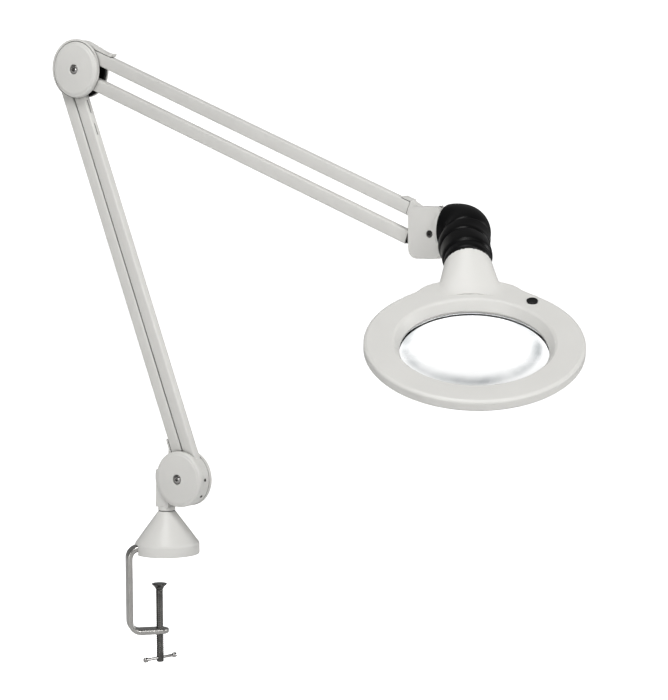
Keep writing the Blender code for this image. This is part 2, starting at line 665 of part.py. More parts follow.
def build_head_bracket():
    elbow = upper_frame(elbow_hub())
    top = in_plane(elbow, UPPER_TOP_PIVOT + Vector((UPPER_SPAN, 0.0)))
    bottom = in_plane(elbow, UPPER_BOTTOM_PIVOT + Vector((UPPER_SPAN, 0.0)))
    axes = frame_at((0.0, 0.0, 0.0), (1.0, 0.0, 0.0), (0.0, 0.0, 1.0))
    left = top.x - 5.6
    right = 325.0
    crown = JOINT_Z + 20.4
    outline = rounded_box(left, right, JOINT_Z - 26.6, crown, 8.8, 5)
    shell = solid_plate("head_bracket_shell", [outline], -8.6, 8.6, axes, "enamel")
    soften(shell, 1.6, 2)
    barrel = frame_at((0.0, 0.0, JOINT_Z), (0.0, 1.0, 0.0), (0.0, 0.0, 1.0))
    join(shell, rod("bracket_barrel", 17.5, right - 3.0, JOINT_X + BELLOWS_START - 0.4,
                    barrel, None, 32))
    cut(shell, block("bracket_slot", left - 5.0, top.x + 13.4, JOINT_Z - 40.0, JOINT_Z + 40.0,
                     -CHEEK_IN, CHEEK_IN, axes, None))
    cut(shell, rod("bracket_bore", 5.3, 311.0, 340.0, barrel, None, 20))
    for name, spot in (("bracket_top_pin", top), ("bracket_bottom_pin", bottom)):
        seat = frame_at(spot, (1.0, 0.0, 0.0), (0.0, 0.0, 1.0))
        cut(shell, rod(name + "_well", PIN_HOLE, -7.0, 7.0, seat, None, 14))
        rod(name, PIN, -6.6, 6.6, seat, "steel", steps=14)
    side = frame_at((311.8, -8.6, 320.0), (1.0, 0.0, 0.0), (0.0, 0.0, 1.0))
    cut(shell, rod("side_screw_well", 3.5, -1.4, 3.0, side, None, 20))
    cut(shell, rod("side_screw_bore", 1.8, -3.4, 3.0, side, None, 12))
    small_screw("bracket_side_screw", 3.0, 1.7, shifted(side, z=-1.3))
    crest = frame_at((319.0, 0.0, crown), (1.0, 0.0, 0.0), (0.0, 1.0, 0.0))
    cut(shell, rod("crest_screw_bore", 1.1, -6.0, 3.0, crest, None, 12))
    small_screw("bracket_top_screw", 1.8, 4.6, shifted(crest, z=0.1), "chrome")


# ---------------------------------------------------------------- head joint

def joint_point():
    return Vector((JOINT_X, 0.0, JOINT_Z))


def neck_direction():
    flat = math.cos(HEAD_DROP)
    return Vector((flat * math.cos(HEAD_PAN), flat * math.sin(HEAD_PAN), -math.sin(HEAD_DROP)))


def bend_axis():
    return Vector((1.0, 0.0, 0.0)).cross(neck_direction()).normalized()


def smooth_step(t):
    t = min(max(t, 0.0), 1.0)
    return t * t * (3.0 - 2.0 * t)


def bend_share(u):
    """How much of the bend a point of the bellows has taken, from 0 to 1."""
    return smooth_step((u - BELLOWS_START) / (BELLOWS_BEND_END - BELLOWS_START))


def build_head_joint():
    centre = joint_point()
    axis = bend_axis()
    rear = frame_at(centre, (1.0, 0.0, 0.0), axis.cross(Vector((1.0, 0.0, 0.0))))
    shank = frame_at(centre, axis, axis.cross(Vector((-1.0, 0.0, 0.0))))
    if (shank.to_3x3() @ Vector((0.0, 0.0, 1.0))).x < 0.0:
        shank = shank @ Matrix.Rotation(math.pi, 4, "X")
    outline = arc(0.0, 0.0, 4.5, -90.0, 90.0, 8) + [(-10.0, 4.5), (-10.0, -4.5)]
    yoke = solid_plate("swivel_yoke", [outline], -7.4, 7.4, rear, "steel")
    cut(yoke, block("yoke_gap", -8.4, 8.0, -8.0, 8.0, -3.4, 3.4, rear, None))
    join(yoke, rod("swivel_shoulder", 8.9, -13.6, -9.6, shank, None, 24))
    join(yoke, rod("swivel_shank", 5.0, -32.0, -13.0, shank, None, 20))
    cut(yoke, rod("bend_bore", PIN_HOLE, -9.0, 9.0, rear, None, 14))
    rod("bend_pin", PIN, -8.0, 8.0, rear, "steel", steps=14)

    ahead = neck_direction()
    front = frame_at(centre, ahead, axis.cross(ahead))
    neck = head_axis_frame()
    outline = arc(0.0, 0.0, 4.5, 90.0, 270.0, 8) + [(12.0, -4.5), (12.0, 4.5)]
    tongue = solid_plate("neck_tongue", [outline], -3.05, 3.05, front, "steel")
    join(tongue, rod("tongue_shank", 5.0, 9.4, 76.0, neck, None, 20))
    join(tongue, rod("tongue_flange", 9.0, 62.0, 66.0, neck, None, 24))
    cut(tongue, rod("tongue_bore", PIN_HOLE, -9.0, 9.0, front, None, 14))
    turned("neck_bush", [(5.3, 72.5), (14.6, 72.5), (14.6, 67.4), (5.3, 67.4)], 28, neck,
           "black_nylon", closed=True)
    build_bellows()


def head_axis_frame():
    """z runs from the bend joint down the neck."""
    ahead = neck_direction()
    side = Vector((-math.sin(HEAD_PAN), math.cos(HEAD_PAN), 0.0))
    return frame_at(joint_point(), side, ahead.cross(side))


def build_bellows():
    """Ribbed sleeve turned straight about X, then bent about the joint's axis."""
    start = BELLOWS_START
    end = NECK_START - GAP
    collar = 1.6
    creases = (start + collar, 19.5, 35.0, 53.0, end - collar)
    swells = (23.0, 23.1, 22.4, 21.2)
    outer = [(19.6, start), (19.8, start + collar)]
    for low, high, swell in zip(creases, creases[1:], swells):
        span = high - low
        outer += [(swell - 0.8, low + 0.12 * span), (swell, low + 0.32 * span),
                  (swell, low + 0.60 * span), (swell - 0.5, low + 0.84 * span),
                  (swell - 1.9, high)]
    outer.append((18.9, end))
    inner = [(r - 1.7, u) for r, u in reversed(outer[1:-1])]
    loop = outer + [(17.0, end)] + inner + [(18.0, start)]
    straight = turned("bellows", list(reversed(loop)), 24, Matrix.Identity(4), "rubber", closed=True)
    bpy.context.view_layer.update()
    depsgraph = bpy.context.evaluated_depsgraph_get()
    mesh = bpy.data.meshes.new_from_object(straight.evaluated_get(depsgraph))
    straight.modifiers.clear()
    centre = joint_point() * MM
    axis = bend_axis()
    total = Vector((1.0, 0.0, 0.0)).angle(neck_direction())
    for vert in mesh.vertices:
        u = vert.co.z / MM
        point = Vector((vert.co.z, vert.co.x, vert.co.y))
        turn = Matrix.Rotation(total * bend_share(u), 3, axis)
        slack = smooth_step((u - start) / 6.0) * smooth_step((50.0 - u) / 35.0)
        vert.co = centre + turn @ point - Vector((BELLOWS_SLACK * MM * slack, 0.0, 0.0))
    straight.data = mesh


# ---------------------------------------------------------------- head

def head_frame():
    """x runs out along the head, y to its side, z out of its top face, at the lens's middle."""
    ahead = neck_direction()
    side = Vector((-math.sin(HEAD_PAN), math.cos(HEAD_PAN), 0.0))
    return frame_at(joint_point() + HEAD_REACH * ahead, ahead, side)


def neck_loft(name, inset, x_end, frame):
    """Neck body: a turned tube whose rings are stretched sideways and flattened on the way in."""
    stations = [(-119.4, 20.2, 20.2, -20.2), (-110.0, 21.6, 16.6, -19.6), (-102.0, 23.2, 13.4, -18.6),
                (-96.0, 24.6, 10.8, -17.0), (-90.0, 26.0, 8.2, -14.8), (-84.0, 27.2, 5.0, -12.0),
                (-78.5, 28.0, 0.6, -10.0)]
    used = [s for s in stations if s[0] <= x_end]
    used[0] = (used[0][0] - 2.0 if inset else used[0][0], *used[0][1:])
    profile = [(0.0, used[0][0])] + [(1.0, s[0]) for s in used] + [(0.0, used[-1][0])]
    unit = turned(name, [(r, x) for r, x in reversed(profile)], 32,
                  Matrix.Identity(4), None)
    bpy.context.view_layer.update()
    depsgraph = bpy.context.evaluated_depsgraph_get()
    mesh = bpy.data.meshes.new_from_object(unit.evaluated_get(depsgraph))
    unit.modifiers.clear()
    for vert in mesh.vertices:
        x = vert.co.z / MM
        station = min(used, key=lambda s: abs(s[0] - x))
        width = station[1] - inset
        high = station[2] - inset
        low = station[3] + inset
        across = vert.co.x / MM
        upward = vert.co.y / MM
        vert.co = Vector((x, across * width, 0.5 * (high + low) + upward * 0.5 * (high - low))) * MM
    unit.data = mesh
    unit.matrix_world = frame
    return unit


def shoulder_outline():
    """Plan of the web between neck and ring, with a hollow curve on each side."""
    half = [(-97.0, 20.6), (-96.4, 27.6), (-94.2, 32.4), (-91.0, 37.2), (-86.5, 42.0),
            (-81.0, 46.0), (-77.0, 49.0)]
    return half + [(x, -y) for x, y in reversed(half)]


def build_head():
    head = head_frame()
    shell = turned("head_shell", [
        (68.0, 0.0), (89.6, 0.0), (91.8, -0.9), (RING_OUTER, -2.4), (RING_OUTER, RING_EDGE),
        (90.7, RING_EDGE), (90.7, -2.2), (69.3, -2.2), (64.6, -9.4), (64.6, -10.4),
        (62.4, -10.4), (62.4, -9.2), (66.2, -1.3)], 64, head, "enamel", closed=True)
    web = solid_plate("neck_web", [shoulder_outline()], RING_EDGE + 0.4, -0.05, head, None)
    join(shell, web)
    join(shell, neck_loft("neck_body", 0.0, -70.0, head))
    cut(shell, block("under_neck", -93.4, -60.0, -60.0, 60.0, -30.0, RING_EDGE, head, None))
    cut(shell, neck_loft("neck_hollow", 2.0, -95.0, head))
    cut(shell, block("wire_way", -98.0, -73.0, -7.0, 7.0, -5.6, -2.6, head, None))
    switch = shifted(head, -63.0, 52.0)
    cut(shell, rod("switch_hole", 5.4, -8.0, 3.0, switch, None, 24))

    under = RING_EDGE - GAP
    turned("head_base", [
        (86.2, under), (91.7, under), (91.1, -10.0), (88.2, RING_BASE), (86.2, RING_BASE - 0.2)],
        64, head, "enamel", closed=True)
    turned("diffuser_ring", [(67.2, -14.6), (85.8, -9.8), (85.8, -11.2), (67.2, -16.0)], 56, head,
           "opal", closed=True)
    turned("lens_ring", [
        (63.9, -10.8), (66.7, -10.8), (66.7, -17.0), (61.9, -17.0), (61.9, -15.1), (63.9, -14.8)],
        56, head, "black_nylon", closed=True)
    turned("led_ring", [(68.7, -6.0), (73.2, -6.0), (73.2, -7.5), (68.7, -7.5)], 56, head,
           "board", closed=True)
    build_lens(head)
    build_switch(switch)
    driver = shifted(head, x=-100.0, z=-9.0)
    block("driver_board", -4.5, 3.0, -9.0, 9.0, -0.8, 0.8, driver, "board")
    for number, angle in ((1, 62.0), (2, -62.0)):
        place = head @ Matrix.Rotation(math.radians(angle), 4, "Z")
        place = shifted(place, x=87.3, z=RING_BASE - 0.1) @ Matrix.Rotation(math.pi, 4, "X")
        cut(bpy.data.objects["head_base"],
            rod("shell_screw_hole_%d" % number, 0.65, -4.0, 2.0, place, None, 10))
        small_screw("shell_screw_%d" % number, 1.0, 1.6, shifted(place, z=0.3))


def build_lens(head):
    """Double convex glass, 127 mm across."""
    radius = 63.5
    sag = 5.6
    profile = []
    steps = 4
    for i in range(steps + 1):
        r = radius * i / steps
        profile.append((r, LENS_EDGE + sag * (1.0 - (r / radius) ** 2)))
    lower = [(r, 2.0 * LENS_EDGE - 2.0 - z) for r, z in reversed(profile)]
    turned("lens", profile + lower, 56, head, "glass")


def build_switch(spot):
    turned("switch_button", [
        (0.0, 1.2), (3.2, 1.1), (4.5, 0.6), (5.0, -0.3), (5.0, -4.0), (0.0, -4.0)], 20,
        spot, "black_nylon")
    block("switch_housing", -5.4, 5.4, -5.4, 5.4, -8.6, -5.5, spot, "black_nylon")


# ---------------------------------------------------------------- build

clear_scene()
PARTS = new_collection("magnifying_lamp")
CUTTERS = new_collection("cutters", hidden=True)
build_clamp()
build_clamp_screw()
build_base()
build_lower_inner()
build_lower_outer()
build_elbow()
build_upper_top()
build_upper_bottom()
build_head_bracket()
build_head_joint()
build_head()
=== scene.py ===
"""Looks of a clamp-on magnifying lamp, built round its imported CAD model.

Lengths are in millimetres in the layout and in metres in the meshes. The CAD model's own
frame is kept: X is the way the arm reaches, Z is up, and the arm moves in the XZ plane.
"""

import json
import math
from itertools import product

import bmesh
import bpy
import numpy as np
from mathutils import Matrix, Vector


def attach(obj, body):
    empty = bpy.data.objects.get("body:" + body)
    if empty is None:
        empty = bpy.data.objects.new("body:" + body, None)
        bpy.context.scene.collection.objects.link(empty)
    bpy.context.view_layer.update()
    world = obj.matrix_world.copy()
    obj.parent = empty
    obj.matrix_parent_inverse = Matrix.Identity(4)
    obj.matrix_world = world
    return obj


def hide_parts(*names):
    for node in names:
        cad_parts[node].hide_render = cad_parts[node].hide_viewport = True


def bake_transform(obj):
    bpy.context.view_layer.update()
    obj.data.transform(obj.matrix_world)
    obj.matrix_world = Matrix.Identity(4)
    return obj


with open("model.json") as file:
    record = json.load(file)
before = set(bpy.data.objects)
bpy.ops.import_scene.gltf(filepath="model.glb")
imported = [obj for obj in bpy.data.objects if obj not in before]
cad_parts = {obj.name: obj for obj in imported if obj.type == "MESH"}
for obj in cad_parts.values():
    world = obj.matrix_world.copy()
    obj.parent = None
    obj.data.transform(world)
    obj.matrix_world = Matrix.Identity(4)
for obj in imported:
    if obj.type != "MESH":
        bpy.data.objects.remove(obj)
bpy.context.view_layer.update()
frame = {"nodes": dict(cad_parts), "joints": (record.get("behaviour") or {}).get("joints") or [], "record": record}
MM = 0.001

# ---------------------------------------------------------------- layout
# Two points come from the joints. The rest are the CAD model's own dimensions and angles.

JOINT = {j["name"]: j for j in frame["joints"]}


def joint_at(name):
    return Vector(JOINT[name]["pos_m"]) / MM


LEAN = math.radians(21.0)
DROP = math.radians(21.2)
BASE_HUB = joint_at("lower_arm_lift")
LOWER_SPAN = 415.0
HUB_SHIFT = 27.0
UPPER_SPAN = 417.0
BAR_WIDTH = 13.0
BAR_DEPTH = 8.8
INNER_X = 17.2
OUTER_X = 3.6
TOP_Y = 18.55
BOTTOM_Y = -6.63
BOTTOM_START = 10.0
PAN = math.radians(-55.2)
HEAD_DROP = math.radians(27.0)
REACH = 185.9
CLAMP_TURN = math.radians(47.0)
SCREW_AT = -8.3
FOOT_RADIUS = 26.9
TOMMY_HEIGHT = -103.5
TOMMY_SIDE = Vector((math.cos(math.radians(78.0)), math.sin(math.radians(78.0)), 0.0))
UP = Vector((0.0, 0.0, 1.0))


def frame_at(origin, x_axis, y_axis):
    x = Vector(x_axis).normalized()
    z = x.cross(Vector(y_axis)).normalized()
    rows = Matrix((x, z.cross(x), z)).transposed().to_4x4()
    rows.translation = Vector(origin) * MM
    return rows


def shifted(place, x=0.0, y=0.0, z=0.0):
    return place @ Matrix.Translation(Vector((x, y, z)) * MM)


def aimed(place, x, y, direction):
    """The frame moved to (x, y), with its z axis turned to a direction of the frame's own."""
    turn = Vector((0.0, 0.0, 1.0)).rotation_difference(Vector(direction)).to_matrix().to_4x4()
    return shifted(place, x, y) @ turn


def vertical_at(x):
    """Upright frame on the clamp's own axis, x in front of the post."""
    return frame_at((x * math.cos(CLAMP_TURN), x * math.sin(CLAMP_TURN), 0.0),
                    (1.0, 0.0, 0.0), (0.0, 1.0, 0.0))


LOWER = frame_at(BASE_HUB, (math.cos(LEAN), 0.0, math.sin(LEAN)),
                 (-math.sin(LEAN), 0.0, math.cos(LEAN)))
ELBOW = LOWER @ (Vector((HUB_SHIFT, LOWER_SPAN, 0.0)) * MM) / MM
UPPER = frame_at(ELBOW, (math.cos(DROP), 0.0, -math.sin(DROP)),
                 (math.sin(DROP), 0.0, math.cos(DROP)))
CLAMP = frame_at((0.0, 0.0, 0.0), (math.cos(CLAMP_TURN), math.sin(CLAMP_TURN), 0.0),
                 (0.0, 0.0, 1.0))
AHEAD = Vector((math.cos(HEAD_DROP) * math.cos(PAN), math.cos(HEAD_DROP) * math.sin(PAN),
                -math.sin(HEAD_DROP)))
SIDE = Vector((-math.sin(PAN), math.cos(PAN), 0.0))
BEND_POINT = joint_at("head_bend")
HEAD = frame_at(BEND_POINT + REACH * AHEAD, AHEAD, SIDE)


# ---------------------------------------------------------------- finishes

# How far the enamel's painted crevice shade reaches, in metres.
CREVICE_SHADE_REACH = 0.016
# The lens's grey crescent of painted shade: its centre offset and its radii, in metres.
CRESCENT_OFFSET = (0.011, 0.002, 0.0)
CRESCENT_INNER = 0.046
CRESCENT_MIDDLE = 0.058
CRESCENT_OUTER = 0.0635


def new_material(name):
    mat = bpy.data.materials.new(name)
    mat.use_nodes = True
    return mat, mat.node_tree.nodes, mat.node_tree.links, mat.node_tree.nodes["Principled BSDF"]


def noise_node(nodes, links, coords, scale, detail=3.0, stretch=None):
    """Noise over the object's own coordinates, with its scale in features per metre."""
    source = coords.outputs["Object"]
    if stretch is not None:
        mapping = nodes.new("ShaderNodeMapping")
        mapping.inputs["Scale"].default_value = stretch
        links.new(source, mapping.inputs["Vector"])
        source = mapping.outputs["Vector"]
    node = nodes.new("ShaderNodeTexNoise")
    node.inputs["Scale"].default_value = scale
    node.inputs["Detail"].default_value = detail
    links.new(source, node.inputs["Vector"])
    return node.outputs["Fac"]


def ramp(nodes, links, source, low, high, start=0.35, end=0.65):
    """Maps a noise's middle range onto two values or colours."""
    node = nodes.new("ShaderNodeValToRGB")
    node.color_ramp.elements[0].position = start
    node.color_ramp.elements[1].position = end
    node.color_ramp.elements[0].color = low if len(low) == 4 else (*low, 1.0)
    node.color_ramp.elements[1].color = high if len(high) == 4 else (*high, 1.0)
    links.new(source, node.inputs["Fac"])
    return node.outputs["Color"]


def grey(value):
    return (value, value, value, 1.0)


def bump_chain(nodes, links, shader, *layers):
    """Adds bump layers, each (height output, distance in metres, strength)."""
    previous = None
    for height, distance, strength in layers:
        node = nodes.new("ShaderNodeBump")
        node.inputs["Distance"].default_value = distance
        node.inputs["Strength"].default_value = strength
        links.new(height, node.inputs["Height"])
        if previous is not None:
            links.new(previous, node.inputs["Normal"])
        previous = node.outputs["Normal"]
    links.new(previous, shader.inputs["Normal"])


def enamel(name, colour, rough):
    """Powder-coated paint: fine orange peel, faint mottling, uneven gloss, and painted shade in its crevices."""
    mat, nodes, links, shader = new_material(name)
    coords = nodes.new("ShaderNodeTexCoord")
    # Painted shade: ambient occlusion darkens the base colour in crevices and where parts meet.
    crevice_shade_ao = nodes.new("ShaderNodeAmbientOcclusion")
    crevice_shade_ao.samples = 8
    crevice_shade_ao.inputs["Distance"].default_value = CREVICE_SHADE_REACH
    painted_crevice_shade = nodes.new("ShaderNodeMix")
    painted_crevice_shade.data_type = "RGBA"
    painted_crevice_shade.blend_type = "MULTIPLY"
    painted_crevice_shade.inputs["Factor"].default_value = 1.0
    broad = noise_node(nodes, links, coords, 22.0, 4.0)
    fine = noise_node(nodes, links, coords, 900.0, 2.0)
    speck = noise_node(nodes, links, coords, 3000.0, 1.0)
    light = tuple(min(1.0, c * 1.012) for c in colour)
    dark = tuple(c * 0.985 for c in colour)
    links.new(ramp(nodes, links, broad, dark, light), painted_crevice_shade.inputs["A"])
    links.new(ramp(nodes, links, crevice_shade_ao.outputs["AO"], grey(0.38), grey(1.0), 0.15, 0.75),
              painted_crevice_shade.inputs["B"])
    links.new(painted_crevice_shade.outputs["Result"], shader.inputs["Base Color"])
    links.new(ramp(nodes, links, fine, grey(rough - 0.04), grey(rough + 0.05)),
              shader.inputs["Roughness"])
    shader.inputs["Specular IOR Level"].default_value = 0.45
    bump_chain(nodes, links, shader, (fine, 0.00004, 0.35), (speck, 0.00002, 0.25))
    return mat


def metal(name, colour, rough, brush=None, wear=0.25):
    """Bare or plated metal with brushing along one of the object's axes."""
    mat, nodes, links, shader = new_material(name)
    coords = nodes.new("ShaderNodeTexCoord")
    cloud = noise_node(nodes, links, coords, 60.0, 5.0)
    grain = noise_node(nodes, links, coords, 1200.0, 3.0, brush)
    dark = tuple(c * (1.0 - wear) for c in colour)
    links.new(ramp(nodes, links, cloud, dark, colour), shader.inputs["Base Color"])
    links.new(ramp(nodes, links, grain, grey(max(rough - 0.08, 0.03)), grey(rough + 0.10)),
              shader.inputs["Roughness"])
    shader.inputs["Metallic"].default_value = 1.0
    bump_chain(nodes, links, shader, (grain, 0.00003, 0.30), (cloud, 0.0001, 0.08))
    return mat


def moulded(name, colour, rough, grain_scale=1500.0, depth=0.00004, specular=0.5):
    """Moulded plastic or rubber with a spark-eroded grain."""
    mat, nodes, links, shader = new_material(name)
    coords = nodes.new("ShaderNodeTexCoord")
    cloud = noise_node(nodes, links, coords, 45.0, 4.0)
    grain = noise_node(nodes, links, coords, grain_scale, 2.0)
    links.new(ramp(nodes, links, cloud, tuple(c * 0.8 for c in colour),
                   tuple(min(1.0, c * 1.2) for c in colour)), shader.inputs["Base Color"])
    links.new(ramp(nodes, links, cloud, grey(rough - 0.05), grey(rough + 0.07)),
              shader.inputs["Roughness"])
    shader.inputs["Specular IOR Level"].default_value = specular
    bump_chain(nodes, links, shader, (grain, depth, 0.4))
    return mat


def multiply(nodes, links, a, b):
    node = nodes.new("ShaderNodeMath")
    node.operation = "MULTIPLY"
    links.new(a, node.inputs[0])
    links.new(b, node.inputs[1])
    return node.outputs[0]


def soft_step(nodes, links, source, low, high, before, after):
    """Goes smoothly from one value to another while the source runs from low to high."""
    node = nodes.new("ShaderNodeMapRange")
    node.interpolation_type = "SMOOTHSTEP"
    node.inputs["From Min"].default_value = low
    node.inputs["From Max"].default_value = high
    node.inputs["To Min"].default_value = before
    node.inputs["To Max"].default_value = after
    links.new(source, node.inputs["Value"])
    return node.outputs["Result"]


def lens_glass(name):
    """Clear glass with a grey crescent of painted shade near the rim, on the side off the neck.

    The painted shade is fixed to the lens. It stands in for the dark bands that a thick lens bends in
    from its surroundings, but it is not refraction and does not move with the view.
    """
    mat, nodes, links, shader = new_material(name)
    coords = nodes.new("ShaderNodeTexCoord")
    smear = noise_node(nodes, links, coords, 30.0, 3.0)
    cloud = noise_node(nodes, links, coords, 34.0, 2.0)
    offset = nodes.new("ShaderNodeVectorMath")
    offset.operation = "ADD"
    offset.inputs[1].default_value = CRESCENT_OFFSET
    links.new(coords.outputs["Object"], offset.inputs[0])
    reach = nodes.new("ShaderNodeVectorMath")
    reach.operation = "LENGTH"
    links.new(offset.outputs["Vector"], reach.inputs[0])
    # Painted shade: a grey crescent near the rim, broken up by noise.
    inner = soft_step(nodes, links, reach.outputs["Value"], CRESCENT_INNER, CRESCENT_MIDDLE,
                      0.0, 1.0)
    outer = soft_step(nodes, links, reach.outputs["Value"], CRESCENT_MIDDLE, CRESCENT_OUTER,
                      1.0, 0.1)
    shade = multiply(nodes, links, inner, outer)
    shade = multiply(nodes, links, shade,
                     ramp(nodes, links, cloud, grey(0.4), grey(1.0), 0.30, 0.62))
    links.new(ramp(nodes, links, shade, (0.99, 0.998, 0.998), (0.46, 0.48, 0.49), 0.0, 1.0),
              shader.inputs["Base Color"])
    shader.inputs["Transmission Weight"].default_value = 1.0
    shader.inputs["IOR"].default_value = 1.5
    links.new(ramp(nodes, links, smear, grey(0.0), grey(0.02)), shader.inputs["Roughness"])
    bump_chain(nodes, links, shader, (smear, 0.00002, 0.02))
    return mat


FINISH = {
    "enamel": enamel("enamel", (0.735, 0.728, 0.70), 0.40),
    "enamel_arm": enamel("enamel_arm", (0.70, 0.693, 0.665), 0.43),
    "steel": metal("steel", (0.50, 0.49, 0.47), 0.28, (1.0, 1.0, 0.04), 0.12),
    "chrome": metal("chrome", (0.47, 0.46, 0.45), 0.14, None, 0.15),
    "dark_steel": metal("dark_steel", (0.15, 0.147, 0.14), 0.16, (1.0, 1.0, 0.1), 0.4),
    "black_nylon": moulded("black_nylon", (0.006, 0.006, 0.006), 0.42, 1500.0, 0.00004, 0.25),
    "rubber": moulded("rubber", (0.0025, 0.0025, 0.0027), 0.34, 2200.0, 0.00003, 0.14),
    "glass": lens_glass("glass"),
    "opal": moulded("opal", (0.86, 0.86, 0.85), 0.35, 2500.0, 0.00002),
    "board": moulded("board", (0.70, 0.71, 0.69), 0.50),
}


# ---------------------------------------------------------------- mesh tools

def piece(obj, body, slot, *nodes):
    """Gives a finished mesh its finish, its CAD body and the nodes it stands for."""
    obj.data.transform(obj.matrix_world)
    obj.matrix_world = Matrix.Identity(4)
    obj.data.materials.clear()
    obj.data.materials.append(FINISH[slot])
    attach(obj, body)
    if nodes:
        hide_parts(*nodes)
    return obj


def link_mesh(name, mesh, place):
    obj = bpy.data.objects.new(name, mesh)
    obj.matrix_world = place
    bpy.context.scene.collection.objects.link(obj)
    return obj


def from_faces(name, verts, faces, place):
    mesh = bpy.data.meshes.new(name)
    mesh.from_pydata([Vector(v) * MM for v in verts], [], faces)
    mesh.update()
    return link_mesh(name, mesh, place)


def loop_faces(loops, width, closed=True):
    """Quads between neighbouring loops that have the same number of points."""
    faces = []
    for i in range(loops if closed else loops - 1):
        a, b = i * width, (i + 1) % loops * width
        for k in range(width):
            m = (k + 1) % width
            faces.append([a + k, a + m, b + m, b + k])
    return faces


def shaded(obj, angle=32.0):
    obj.data.shade_smooth()
    obj.data.set_sharp_from_angle(angle=math.radians(angle))
    return obj


def bake(obj):
    """Replaces an object's mesh by what its modifiers make of it."""
    bpy.context.view_layer.update()
    depsgraph = bpy.context.evaluated_depsgraph_get()
    mesh = bpy.data.meshes.new_from_object(obj.evaluated_get(depsgraph))
    obj.modifiers.clear()
    obj.data = mesh
    return obj


def combine(obj, operation, *others):
    """Boolean with other objects, which are used up."""
    for other in others:
        step = obj.modifiers.new(operation.title(), "BOOLEAN")
        step.operation = operation
        step.solver = "EXACT"
        step.object = other
    bake(obj)
    for other in others:
        bpy.data.objects.remove(other, do_unlink=True)
    return obj


def cut(obj, *others):
    return combine(obj, "DIFFERENCE", *others)


def join(obj, *others):
    return combine(obj, "UNION", *others)


def eased(obj, width, segments=3, angle=35.0):
    """Rounds every edge sharper than an angle."""
    bevel = obj.modifiers.new("Edges", "BEVEL")
    bevel.width = width * MM
    bevel.segments = segments
    bevel.limit_method = "ANGLE"
    bevel.angle_limit = math.radians(angle)
    bevel.use_clamp_overlap = True
    bevel.harden_normals = False
    return bake(obj)


def fillet(points, closed=True, steps=4):
    """Rounds the corners of an outline: a point may carry its own radius as a third number."""
    out = []
    count = len(points)
    for i, p in enumerate(points):
        radius = p[2] if len(p) > 2 else 0.0
        here = Vector(p[:2])
        if radius <= 0.0 or (not closed and i in (0, count - 1)):
            out.append(tuple(here))
            continue
        a = Vector(points[i - 1][:2]) - here
        b = Vector(points[(i + 1) % count][:2]) - here
        half = 0.5 * a.angle(b)
        reach = min(radius / math.tan(half), 0.49 * a.length, 0.49 * b.length)
        radius = reach * math.tan(half)
        centre = here + (a.normalized() + b.normalized()).normalized() * radius / math.sin(half)
        start = here + a.normalized() * reach - centre
        end = here + b.normalized() * reach - centre
        turn = start.angle_signed(end)
        for k in range(steps + 1):
            out.append(tuple(centre + Matrix.Rotation(-turn * k / steps, 2) @ start))
    return out


def turned(name, profile, place, steps=96, closed=False):
    """Turned solid: (radius, height) points from the top down the outer side."""
    verts, rings, faces = [], [], []
    for r, z in profile:
        if r < 1e-6:
            rings.append([len(verts)] * steps)
            verts.append((0.0, 0.0, z))
        else:
            rings.append(list(range(len(verts), len(verts) + steps)))
            verts += [(r * math.cos(a), r * math.sin(a), z)
                      for a in (2.0 * math.pi * k / steps for k in range(steps))]
    pairs = list(zip(rings, rings[1:]))
    if closed:
        pairs.append((rings[-1], rings[0]))
    for top, low in pairs:
        for k in range(steps):
            m = (k + 1) % steps
            quad = [top[k], low[k], low[m], top[m]]
            faces.append([q for i, q in enumerate(quad) if q not in quad[:i]])
    return shaded(from_faces(name, verts, [f for f in faces if len(f) > 2], place))


def solid(name, outlines, z0, z1, place):
    """Flat solid between two heights: outer outline first, then its holes."""
    curve = bpy.data.curves.new(name, "CURVE")
    curve.dimensions = "2D"
    curve.fill_mode = "BOTH"
    curve.extrude = 0.5 * (z1 - z0) * MM
    for outline in outlines:
        spline = curve.splines.new("POLY")
        spline.points.add(len(outline) - 1)
        for point, (x, y) in zip(spline.points, outline):
            point.co = (x * MM, y * MM, 0.0, 1.0)
        spline.use_cyclic_u = True
    maker = link_mesh(name + "_outline", curve, Matrix.Identity(4))
    bpy.context.view_layer.update()
    depsgraph = bpy.context.evaluated_depsgraph_get()
    mesh = bpy.data.meshes.new_from_object(maker.evaluated_get(depsgraph))
    bpy.data.objects.remove(maker, do_unlink=True)
    bm = bmesh.new()
    bm.from_mesh(mesh)
    bmesh.ops.remove_doubles(bm, verts=bm.verts, dist=0.005 * MM)
    bm.to_mesh(mesh)
    bm.free()
    mesh.materials.clear()
    return link_mesh(name, mesh, shifted(place, z=0.5 * (z0 + z1)))


def box(name, x0, x1, y0, y1, z0, z1, place):
    return solid(name, [[(x0, y0), (x1, y0), (x1, y1), (x0, y1)]], z0, z1, place)


def rod(name, radius, z0, z1, place, steps=40):
    return turned(name, [(0.0, z1), (radius, z1), (radius, z0), (0.0, z0)], place, steps)


def hexagon(name, across, z0, z1, place):
    return rod(name, 0.5 * across / math.cos(math.pi / 6.0), z0, z1, place, 6)


def refined(node, name, width, segments=3, angle=35.0):
    """A copy of a CAD node with its flat faces made whole and its edges rounded."""
    mesh = frame["nodes"][node].data.copy()
    bm = bmesh.new()
    bm.from_mesh(mesh)
    bmesh.ops.remove_doubles(bm, verts=bm.verts, dist=0.004 * MM)
    bmesh.ops.dissolve_limit(bm, angle_limit=math.radians(1.5), verts=bm.verts, edges=bm.edges)
    bm.to_mesh(mesh)
    bm.free()
    obj = shaded(eased(link_mesh(name, mesh, Matrix.Identity(4)), width, segments, angle))
    obj.modifiers.new("Normals", "WEIGHTED_NORMAL").keep_sharp = True
    return bake(obj)


# ---------------------------------------------------------------- pieces used more than once

